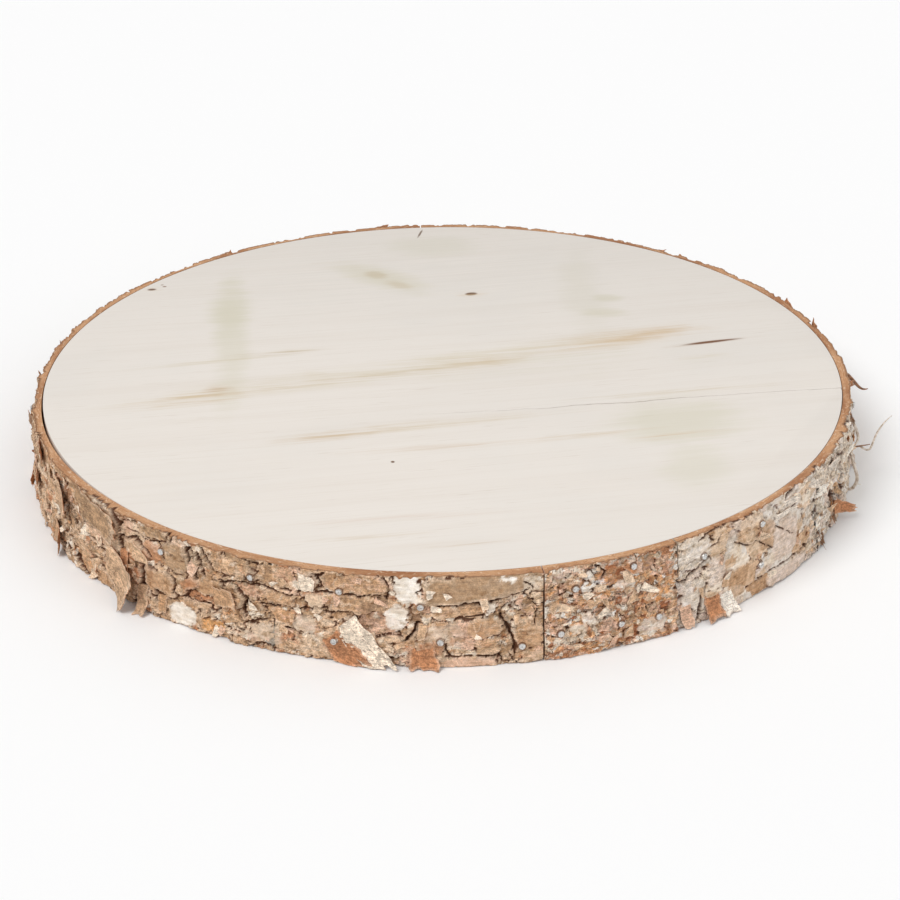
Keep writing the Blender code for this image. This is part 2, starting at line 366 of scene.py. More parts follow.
class Nodes:
    """A material's node tree, with short ways to add and join nodes."""

    def __init__(self, name: str) -> None:
        """Starts a Principled material.

        Args:
            name: the material's name.
        """
        self.material = bpy.data.materials.new(name)
        self.material.use_nodes = True
        self.tree = self.material.node_tree
        self.shader = self.tree.nodes["Principled BSDF"]

    def add(self, kind: str, **settings: object) -> bpy.types.Node:
        """Adds a node and sets its properties.

        Args:
            kind: the node's type.
            settings: its properties.

        Returns:
            The node.
        """
        node = self.tree.nodes.new(kind)
        for key, value in settings.items():
            setattr(node, key, value)
        return node

    def plug(self, socket: Socket, value: object) -> None:
        """Links an output to a socket, or sets the socket's own value.

        Args:
            socket: the input.
            value: an output, or a value.
        """
        if isinstance(value, Socket):
            self.tree.links.new(value, socket)
        else:
            socket.default_value = value

    def place(self) -> Socket:
        """The point on the object."""
        return self.add("ShaderNodeTexCoord").outputs["Object"]

    def mapped(
        self, vector: object, move: tuple = (0, 0, 0), turn: float = 0.0, scale: tuple = (1, 1, 1)
    ) -> Socket:
        """Moves a place by -move, turns it by -turn degrees round Z and then scales it.

        Args:
            vector: the place.
            move: what becomes the origin.
            turn: the direction that becomes the first axis.
            scale: how the pattern is squeezed along each axis.

        Returns:
            The new place.
        """
        shifted = self.add("ShaderNodeVectorMath", operation="SUBTRACT")
        self.plug(shifted.inputs[0], vector)
        shifted.inputs[1].default_value = move
        node = self.add("ShaderNodeMapping", vector_type="POINT")
        self.plug(node.inputs["Vector"], shifted.outputs[0])
        node.inputs["Rotation"].default_value = (0.0, 0.0, -math.radians(turn))
        scaled = self.add("ShaderNodeVectorMath", operation="MULTIPLY")
        self.plug(scaled.inputs[0], node.outputs[0])
        scaled.inputs[1].default_value = scale
        return scaled.outputs[0]

    def noise(
        self, vector: object, scale: float, detail: float = 3.0, rough: float = 0.5
    ) -> Socket:
        """Noise of about 0 to 1.

        Args:
            vector: the place.
            scale: bumps to each unit.
            detail: how many finer layers it has.
            rough: how strong those are.

        Returns:
            The noise.
        """
        node = self.add("ShaderNodeTexNoise")
        self.plug(node.inputs["Vector"], vector)
        node.inputs["Scale"].default_value = scale
        node.inputs["Detail"].default_value = detail
        node.inputs["Roughness"].default_value = rough
        return node.outputs["Fac"]

    def math(self, operation: str, a: object, b: object = 0.0, c: object = 0.0) -> Socket:
        """One sum on numbers.

        Args:
            operation: which sum.
            a: the first number.
            b: the second.
            c: the third.

        Returns:
            The result.
        """
        node = self.add("ShaderNodeMath", operation=operation)
        for socket, value in zip(node.inputs, (a, b, c)):
            self.plug(socket, value)
        return node.outputs[0]

    def span(
        self, value: object, low: float, high: float, to_low: float = 0.0, to_high: float = 1.0
    ) -> Socket:
        """Maps low..high smoothly to another span.

        Args:
            value: the number.
            low: where the span begins.
            high: where it ends.
            to_low: what low becomes.
            to_high: what high becomes.

        Returns:
            The new number.
        """
        node = self.add("ShaderNodeMapRange", interpolation_type="SMOOTHSTEP")
        self.plug(node.inputs["Value"], value)
        node.inputs["From Min"].default_value = low
        node.inputs["From Max"].default_value = high
        node.inputs["To Min"].default_value = to_low
        node.inputs["To Max"].default_value = to_high
        return node.outputs["Result"]

    def blend(self, share: object, a: object, b: object, mode: str = "MIX") -> Socket:
        """Blends two colours.

        Args:
            share: how much of b there is.
            a: the lower colour.
            b: the upper colour.
            mode: how they mix.

        Returns:
            The blend.
        """
        node = self.add("ShaderNodeMix", data_type="RGBA", blend_type=mode)
        self.plug(node.inputs[0], share)
        for socket, value in ((node.inputs[6], a), (node.inputs[7], b)):
            self.plug(socket, (*value, 1.0) if isinstance(value, tuple) else value)
        return node.outputs[2]

    def attribute(self, name: str) -> bpy.types.Node:
        """Reads a colour attribute of the mesh."""
        return self.add("ShaderNodeAttribute", attribute_name=name)

    def bump(self, height: object, distance: float, strength: float = 1.0) -> None:
        """Raises the surface by a pattern, with distance in metres.

        Args:
            height: the pattern.
            distance: how far 1 stands above 0.
            strength: how much of it shows.
        """
        node = self.add("ShaderNodeBump")
        node.inputs["Strength"].default_value = strength
        node.inputs["Distance"].default_value = distance
        self.plug(node.inputs["Height"], height)
        self.plug(self.shader.inputs["Normal"], node.outputs["Normal"])

    def finish(self, colour: object, rough: object, specular: float = 0.5, metallic: float = 0.0) -> None:
        """Sets what the surface is like.

        Args:
            colour: its colour.
            rough: its roughness.
            specular: how strongly it reflects.
            metallic: 1 for bare metal.
        """
        inputs = self.shader.inputs
        self.plug(inputs["Base Color"], colour)
        self.plug(inputs["Roughness"], rough)
        self.plug(inputs["Specular IOR Level"], specular)
        self.plug(inputs["Metallic"], metallic)


@dataclass(frozen=True)
class Stain:
    """A mark in the sawn face.

    Attributes:
        x: its middle's place from left to right, in millimetres.
        y: its middle's place from front to back.
        length: its length, along `turn`.
        width: its width.
        turn: the direction it runs in, in degrees.
        colour: its colour, as sRGB.
        strength: how strong it is.
        hard: how sharp its outline is, 0 for one frayed along the grain.
    """

    x: float
    y: float
    length: float
    width: float
    turn: float
    colour: Rgb
    strength: float
    hard: float = 0.0


# The lowest comes first.
STAINS = (
    # The first, broad one makes the back half of the top a little darker.
    Stain(0, 120, 420, 150, 6, (221, 215, 207), 0.55),
    Stain(-106.5, 38.3, 176, 20, 93, (206, 201, 178), 0.34, 0.26),
    Stain(-109, 78, 72, 25, 92, (204, 198, 172), 0.34, 0.26),
    Stain(-29.3, 119, 74, 26, -40, (204, 197, 170), 0.36, 0.26),
    Stain(-34, 124, 16, 10, -40, (190, 172, 138), 0.4, 0.3),
    Stain(-21, 109, 20, 10, -40, (196, 178, 146), 0.34, 0.3),
    Stain(-4, 166, 60, 34, 0, (208, 203, 184), 0.32, 0.26),
    Stain(76.6, 102, 120, 26, 90, (212, 206, 190), 0.3, 0.3),
    Stain(90.1, 87.8, 18, 10, 0, (202, 196, 170), 0.35, 0.3),
    Stain(85.5, 69.9, 28, 13, 0, (204, 197, 172), 0.36, 0.3),
    Stain(112.5, -58.5, 72, 46, 8, (204, 199, 174), 0.38, 0.26),
    Stain(112.5, -74, 52, 8, 8, (204, 178, 142), 0.65),
    Stain(114, -103.6, 34, 50, 0, (208, 204, 182), 0.3, 0.26),
    Stain(50, 14, 150, 60, 12, (216, 209, 192), 0.45),
    Stain(87.8, 36, 96, 26, 15, (206, 178, 138), 0.66),
    Stain(104, 42, 50, 15, 15, (204, 172, 128), 0.5),
    Stain(18, 9.1, 50, 20, 14, (206, 184, 150), 0.65),
    Stain(-36, -5.4, 150, 9, 15.5, (196, 174, 138), 0.75),
    Stain(-56, -9, 210, 24, 15.5, (208, 196, 170), 0.6),
    Stain(20, 22, 230, 12, 15, (212, 200, 176), 0.5),
    Stain(-120, -30, 78, 15, 15, (200, 174, 134), 0.7),
    Stain(-109, -19.3, 16, 12, 15, (190, 160, 120), 0.65),
    Stain(-83.4, 22.6, 64, 7, 12, (192, 174, 142), 0.7),
    Stain(-120, 12, 90, 5, 12, (206, 194, 168), 0.5),
    Stain(-50, -69.9, 70, 11, 12, (202, 178, 146), 0.75),
    Stain(-6, -60, 140, 12, 10, (208, 192, 166), 0.6),
    Stain(70, -72, 90, 6, 8, (208, 190, 164), 0.55),
    Stain(112.5, -29.4, 110, 7, 7, (206, 192, 168), 0.5),
    Stain(130.7, 9.1, 36, 12, 10, (206, 192, 162), 0.55),
    Stain(4.4, -81, 110, 7, 6, (210, 192, 172), 0.6),
    Stain(-20, -146, 120, 6, 5, (216, 200, 186), 0.6),
    Stain(2.3, -172, 56, 6, 4, (194, 168, 136), 0.75),
    Stain(-34, -163, 60, 5, 5, (204, 186, 160), 0.6),
    Stain(18, 94.6, 6.4, 4, 8, (104, 72, 48), 0.95, 0.7),
    Stain(18, 94.6, 19, 9, 8, (214, 188, 152), 0.6),
    Stain(-153, 105.8, 5, 3.4, 8, (104, 70, 46), 0.85, 0.5),
    Stain(-153, 105.8, 15, 8, 8, (212, 190, 160), 0.5),
    Stain(-146.5, 110, 2.4, 2, 8, (130, 94, 68), 0.75, 0.4),
    Stain(-148, 112.6, 2, 1.6, 8, (140, 104, 78), 0.7, 0.4),
    Stain(133, 28.6, 48, 5.6, 13, (178, 144, 106), 0.8, 0.1),
    Stain(135, 29.1, 29, 3.2, 13, (122, 82, 54), 0.9, 0.5),
    Stain(-11, 185.5, 13, 1.5, 80, (112, 86, 62), 0.75, 0.5),
    Stain(-23.4, -95, 1.8, 1.8, 0, (110, 80, 54), 0.85, 0.6),
)


@dataclass(frozen=True)
class SawnWoodFinish:
    """Pale dry wood with long grain, resin streaks, knots and water stains.

    Attributes:
        pale: most of the wood.
        streak: its darker bands and fibres.
        pore: its pores.
        cloud: its faint clouds.
        grain_turn: the direction the grain runs in, in degrees.
        sway: how far the grain wanders, in metres.
        ragged_middle: the middle of the pattern that frays the stains.
        grained_below: stains less hard than this are taken up by the grain.
        stains: its marks, the lowest first.
    """

    pale: Rgb = (228, 221, 213)
    streak: Rgb = (218, 208, 197)
    pore: Rgb = (194, 179, 162)
    cloud: Rgb = (221, 216, 209)
    grain_turn: float = 9.0
    sway: tuple[float, float, float] = (0.012, 0.016, 0.0)
    ragged_middle: float = 1.25
    grained_below: float = 0.25
    stains: tuple[Stain, ...] = STAINS

    def make(self) -> Finish:
        """Builds the material.

        Returns:
            The material.
        """
        n = Nodes("pale_wood")
        place = n.place()
        drift = n.add("ShaderNodeTexNoise")
        n.plug(drift.inputs["Vector"], n.mapped(place, turn=self.grain_turn, scale=(3.0, 9.0, 9.0)))
        drift.inputs["Scale"].default_value = 1.0
        drift.inputs["Detail"].default_value = 1.0
        sway = n.add("ShaderNodeVectorMath", operation="MULTIPLY_ADD")
        n.plug(sway.inputs[0], drift.outputs["Color"])
        sway.inputs[1].default_value = self.sway
        n.plug(sway.inputs[2], place)
        wood = sway.outputs[0]
        bands = self.along_grain(n, wood, 26.0, 3.2, 4.0, 0.6)
        fibres = self.along_grain(n, wood, 60.0, 14.0, 4.0, 0.65)
        pores = self.along_grain(n, wood, 22.0, 46.0, 2.0, 0.6)
        strands = self.along_grain(n, wood, 16.0, 16.0, 3.0, 0.6)
        cloud = n.noise(place, 14.0, 3.0, 0.55)
        pale, streak, pore, cloudy = (linear(*c) for c in (self.pale, self.streak, self.pore, self.cloud))
        colour = n.blend(n.span(bands, 0.44, 0.76, 0.0, 0.34), pale, streak)
        colour = n.blend(n.span(cloud, 0.45, 0.75, 0.0, 0.4), colour, cloudy)
        colour = n.blend(n.span(fibres, 0.5, 0.76, 0.0, 0.34), colour, streak)
        colour = n.blend(n.span(pores, 0.62, 0.78, 0.0, 0.3), colour, pore)
        grained = n.span(strands, 0.4, 0.56, 0.15, 1.0)
        grained = n.math("MULTIPLY", n.span(fibres, 0.36, 0.6, 0.4, 1.0), grained)
        ragged = n.math("MULTIPLY_ADD", strands, 1.5, n.noise(place, 34.0, 3.0, 0.6))
        for stain in self.stains:
            colour = self.lay(n, wood, stain, colour, grained, ragged)
        n.finish(colour, n.span(fibres, 0.2, 0.8, 0.52, 0.68), 0.35)
        n.bump(n.math("ADD", fibres, n.math("MULTIPLY", pores, -0.8)), 0.00012, 0.5)
        return n.material

    def along_grain(
        self, n: Nodes, place: object, squeeze: float, scale: float, detail: float, rough: float
    ) -> object:
        """Noise that is drawn out along the grain.

        Args:
            n: the node tree.
            place: the point on the face.
            squeeze: how many times as long as wide its bumps are.
            scale: bumps to each metre along the grain.
            detail: how many finer layers it has.
            rough: how strong those are.

        Returns:
            The noise.
        """
        drawn = n.mapped(place, turn=self.grain_turn, scale=(1.0, squeeze, squeeze))
        return n.noise(drawn, scale, detail, rough)

    def lay(
        self, n: Nodes, place: object, stain: Stain, under: object, grained: object, ragged: object
    ) -> object:
        """Lays one stain over a colour.

        Args:
            n: the node tree.
            place: the point on the face.
            stain: the stain.
            under: the colour below it.
            grained: how much of the stain the fibres take up.
            ragged: a pattern that frays the stain's outline.

        Returns:
            The colour with the stain.
        """
        squeeze = (2.0 / (stain.length * MM), 2.0 / (stain.width * MM), 0.0)
        middle = (stain.x * MM + self.sway[0] / 2, stain.y * MM + self.sway[1] / 2, 0.0)
        centred = n.mapped(place, middle, stain.turn, squeeze)
        length = n.add("ShaderNodeVectorMath", operation="LENGTH")
        n.plug(length.inputs[0], centred)
        fray = n.math("SUBTRACT", ragged, self.ragged_middle)
        frayed = n.math("MULTIPLY_ADD", fray, 1.0 - stain.hard, length.outputs["Value"])
        share = n.span(frayed, 0.05 + 0.8 * stain.hard, 1.25, min(1.0, 1.15 * stain.strength), 0.0)
        if stain.hard < self.grained_below:
            share = n.math("MULTIPLY", share, grained)
        return n.blend(share, under, linear(*stain.colour))


@dataclass(frozen=True)
class BarkFinish:
    """Weathered birch bark in the mesh's bark_colour, with painted shade, grime and crumble in
    bark_shade_and_wear.

    Attributes:
        dirt_and_shade: the dark brown of painted shade and grime in cracks and hollows.
        pale: its light flecks.
        line: the short lines across it.
    """

    dirt_and_shade: Rgb = (88, 46, 22)
    pale: Rgb = (233, 218, 200)
    line: Rgb = (112, 80, 58)

    def make(self) -> Finish:
        """Builds the material.

        Returns:
            The material.
        """
        n = Nodes("birch_bark")
        place = n.place()
        colour = n.attribute("bark_colour").outputs["Color"]
        shade_and_wear = n.add("ShaderNodeSeparateColor")
        n.plug(shade_and_wear.inputs[0], n.attribute("bark_shade_and_wear").outputs["Color"])
        dirt_and_shade, crumble, paper = (shade_and_wear.outputs[k] for k in range(3))
        wrap = n.add("ShaderNodeUVMap", uv_map="wrap").outputs["UV"]
        mottle = n.noise(place, 520.0, 4.0, 0.65)
        fine = n.noise(place, 1900.0, 3.0, 0.7)
        fibre = n.noise(n.mapped(wrap, scale=(170.0, 1500.0, 1.0)), 1.0, 3.0, 0.6)
        dashes = n.noise(n.mapped(wrap, (3.0, 1.0, 0.0), 0.0, (150.0, 900.0, 1.0)), 1.0, 1.0, 0.5)
        shade = n.math("MULTIPLY", n.span(mottle, 0.28, 0.72, 0.8, 1.24), n.span(fine, 0.32, 0.68, 0.82, 1.2))
        shade = n.math("MULTIPLY", shade, n.span(fibre, 0.3, 0.7, 0.86, 1.14))
        texture = n.math("MULTIPLY", n.span(crumble, 0.0, 0.6, 0.75, 1.6), n.span(paper, 0.0, 1.0, 1.0, 0.5))
        shade = n.math("MULTIPLY_ADD", n.math("SUBTRACT", shade, 1.0), texture, 1.0)
        grey = n.add("ShaderNodeCombineColor")
        for socket in grey.inputs:
            n.plug(socket, shade)
        colour = n.blend(1.0, colour, grey.outputs[0], "MULTIPLY")
        flecks = n.math("MULTIPLY", n.span(fine, 0.6, 0.72), n.span(mottle, 0.5, 0.62))
        colour = n.blend(n.math("MULTIPLY", flecks, 0.45), colour, linear(*self.pale))
        lines = n.math("MULTIPLY", n.span(dashes, 0.66, 0.74), 0.32)
        colour = n.blend(lines, colour, linear(*self.line))
        # Painted shade: the dirt_and_shade channel, broken up by the mottle, lays the dark brown over cracks,
        # hollows and shaded edges.
        edge = n.math("ADD", dirt_and_shade, n.math("MULTIPLY", n.math("SUBTRACT", mottle, 0.5), 0.5))
        colour = n.blend(n.span(edge, 0.12, 0.85, 0.0, 0.93), colour, linear(*self.dirt_and_shade))
        n.finish(colour, n.span(paper, 0.0, 1.0, 0.86, 0.6), 0.3)
        lumps = n.math("MULTIPLY_ADD", fine, 0.5, mottle)
        lumps = n.math("MULTIPLY", lumps, n.math("ADD", crumble, 0.45))
        n.bump(n.math("MULTIPLY_ADD", fibre, 0.3, lumps), 0.0009, 0.85)
        return n.material


@dataclass(frozen=True)
class CutBarkFinish:
    """The sawn edge of the bark: warm orange-brown in fine layers that run round the slice.

    Attributes:
        warm: most of it.
        light: its light layers.
        dark: its dark patches.
        fleck: its palest flecks.
        bark: the weathered bark at its rim.
        edge: where the rim lies on the unrolled strip, in metres.
    """

    warm: Rgb = (186, 135, 95)
    light: Rgb = (214, 172, 134)
    dark: Rgb = (140, 86, 52)
    fleck: Rgb = (234, 208, 180)
    bark: Rgb = (124, 88, 62)
    edge: float = SLICE_HEIGHT * MM

    def make(self) -> Finish:
        """Builds the material.

        Returns:
            The material.
        """
        n = Nodes("cut_bark")
        wrap = n.add("ShaderNodeUVMap", uv_map="wrap").outputs["UV"]
        layers = n.noise(n.mapped(wrap, scale=(45.0, 2600.0, 1.0)), 1.0, 3.0, 0.6)
        patches = n.noise(n.mapped(wrap, scale=(26.0, 120.0, 1.0)), 1.0, 2.0, 0.5)
        fine = n.noise(n.place(), 1400.0, 2.0, 0.6)
        warm, light, dark = (linear(*c) for c in (self.warm, self.light, self.dark))
        colour = n.blend(n.span(layers, 0.35, 0.7), warm, light)
        colour = n.blend(n.span(patches, 0.4, 0.66, 0.0, 0.7), colour, dark)
        colour = n.blend(n.span(fine, 0.55, 0.72, 0.0, 0.6), colour, dark)
        flecks = n.noise(n.mapped(wrap, (0.5, 0.2, 0.0), 0.0, (300.0, 900.0, 1.0)), 1.0, 2.0, 0.6)
        colour = n.blend(n.span(flecks, 0.56, 0.68, 0.0, 0.55), colour, linear(*self.fleck))
        split = n.add("ShaderNodeSeparateXYZ")
        n.plug(split.inputs[0], wrap)
        ragged = n.math("ADD", split.outputs[1], n.math("MULTIPLY", n.math("SUBTRACT", patches, 0.5), 0.004))
        rim = n.span(ragged, self.edge, self.edge + 0.0012, 0.75, 0.0)
        colour = n.blend(rim, colour, linear(*self.bark))
        n.finish(colour, 0.8, 0.25)
        n.bump(n.math("ADD", layers, fine), 0.0002, 0.6)
        return n.material


@dataclass(frozen=True)
class NailFinish:
    """Plain drawn wire, bright with duller patches.

    Attributes:
        bright: the bright metal.
        worn: the dull patches.
    """

    bright: Rgb = (222, 221, 219)
    worn: Rgb = (120, 116, 112)

    def make(self) -> Finish:
        """Builds the material.

        Returns:
            The material.
        """
        n = Nodes("nail_steel")
        place = n.place()
        dull = n.noise(place, 1300.0, 3.0, 0.6)
        colour = n.blend(n.span(dull, 0.45, 0.7, 0.0, 0.7), linear(*self.bright), linear(*self.worn))
        n.finish(colour, n.span(dull, 0.3, 0.7, 0.3, 0.55), metallic=1.0)
        n.bump(dull, 0.0004, 0.7)
        return n.material


@dataclass(frozen=True)
class FloorFinish:
    """A clean white studio floor.

    Attributes:
        white: its linear colour.
        rough: its roughness.
        specular: how strongly it reflects.
    """

    white: tuple[float, float, float, float] = (0.93, 0.93, 0.93, 1.0)
    rough: float = 0.9
    specular: float = 0.1

    def make(self) -> Finish:
        """Builds the material.

        Returns:
            The material.
        """
        n = Nodes("studio_floor")
        n.finish(self.white, self.rough, self.specular)
        return n.material


# Bark ----------------------------------------------------------------------------------------------------


class Tone(Enum):
    """The bark's colours, as sRGB."""

    GREY_BROWN = (174, 140, 107)
    TAUPE = (191, 151, 115)
    TAN = (208, 172, 138)
    SAND = (221, 192, 163)
    CREAM = (236, 218, 197)
    WHITE = (243, 233, 220)
    SILVER = (225, 212, 198)
    PINK_GREY = (221, 200, 184)
    PINK = (217, 177, 150)
    RUST = (188, 132, 94)
    RED_BROWN = (164, 104, 68)
    ORANGE = (219, 165, 118)
    AMBER = (238, 172, 100)
    BROWN = (146, 110, 82)
    UMBER = (122, 88, 64)
    # Painted shade: a near-black brown laid in deep recesses and on a shaded flake back.
    SOOT = (70, 44, 30)

    @property
    def rgb(self) -> tuple[float, float, float]:
        """The linear colour."""
        return linear(*self.value)


@dataclass(frozen=True)
class Growth:
    """How one stretch of bark has grown and weathered.

    Attributes:
        palette: tones and the share of the plates that have each.
        rough: 0 for smooth sheets, 1 for bark broken to crumbs.
        steps: how far plates stand above one another, in millimetres.
        cracks: how many of the plates' edges have opened.
    """

    palette: tuple[tuple[Tone, float], ...]
    rough: float
    steps: float
    cracks: float


WEATHERED = Growth(
    (
        (Tone.GREY_BROWN, 4), (Tone.TAUPE, 4), (Tone.TAN, 3), (Tone.RUST, 1.4), (Tone.SAND, 2),
        (Tone.CREAM, 1), (Tone.ORANGE, 0.6),
    ),
    rough=0.5, steps=1.25, cracks=0.6,
)
MIXED = Growth(
    (
        (Tone.TAN, 4), (Tone.TAUPE, 4), (Tone.SAND, 2.5), (Tone.CREAM, 2), (Tone.PINK, 1.5),
        (Tone.RUST, 1), (Tone.GREY_BROWN, 1.5),
    ),
    rough=0.55, steps=1.0, cracks=0.45,
)
SHREDDED = Growth(
    (
        (Tone.WHITE, 2.6), (Tone.CREAM, 3.6), (Tone.TAN, 4.0), (Tone.ORANGE, 3.6), (Tone.RUST, 2.2),
        (Tone.PINK, 3.4), (Tone.RED_BROWN, 1.0),
    ),
    rough=1.0, steps=0.85, cracks=0.25,
)
PAPERY = Growth(
    (
        (Tone.SILVER, 5), (Tone.PINK_GREY, 4), (Tone.SAND, 2.6), (Tone.CREAM, 3), (Tone.TAN, 1),
        (Tone.TAUPE, 0.5),
    ),
    rough=0.22, steps=0.9, cracks=0.45,
)
SCALY = Growth(
    ((Tone.SILVER, 4), (Tone.WHITE, 4), (Tone.CREAM, 3), (Tone.PINK_GREY, 2), (Tone.TAN, 1)),
    rough=0.7, steps=1.2, cracks=0.8,
)

# Each stretch runs from its angle to the next one's.
STRETCHES = (
    (-270.0, PAPERY),
    (-222.0, MIXED),
    (-196.0, WEATHERED),
    (-111.0, MIXED),
    (FRONT_SEAM, SHREDDED),
    (FILLER_SEAM, PAPERY),
    (-33.0, SCALY),
    (-8.0, PAPERY),
    (24.0, MIXED),
    (58.0, PAPERY),
)

# Powers of the three colours that make darker places warmer.
WARMTH = np.array((0.8, 1.0, 1.3))


@dataclass(frozen=True)
class Plate:
    """A plate of bark that lies in a known place.

    Attributes:
        angle: its middle's angle.
        height: its middle's height.
        half_width: half its size along the edge.
        half_height: half its size across.
        tone: its colour.
        level: how far its face stands above the mean face.
        lean: how much higher its end at the larger angle stands.
        lift: how much higher its upper edge stands.
        turn: how far it is turned in its own plane, in degrees.
        keep: the share of the bark below that shows in its relief and colour.
    """

    angle: float
    height: float
    half_width: float
    half_height: float
    tone: Tone
    level: float = 0.6
    lean: float = 0.0
    lift: float = 0.0
    turn: float = 0.0
    keep: float = 0.36


@dataclass(frozen=True)
class Crack:
    """An open crack.

    Attributes:
        line: the (angle, height) places that it runs through.
        width: its width, in millimetres.
        depth: its depth.
    """

    line: tuple[tuple[float, float], ...]
    width: float = 0.8
    depth: float = 1.2


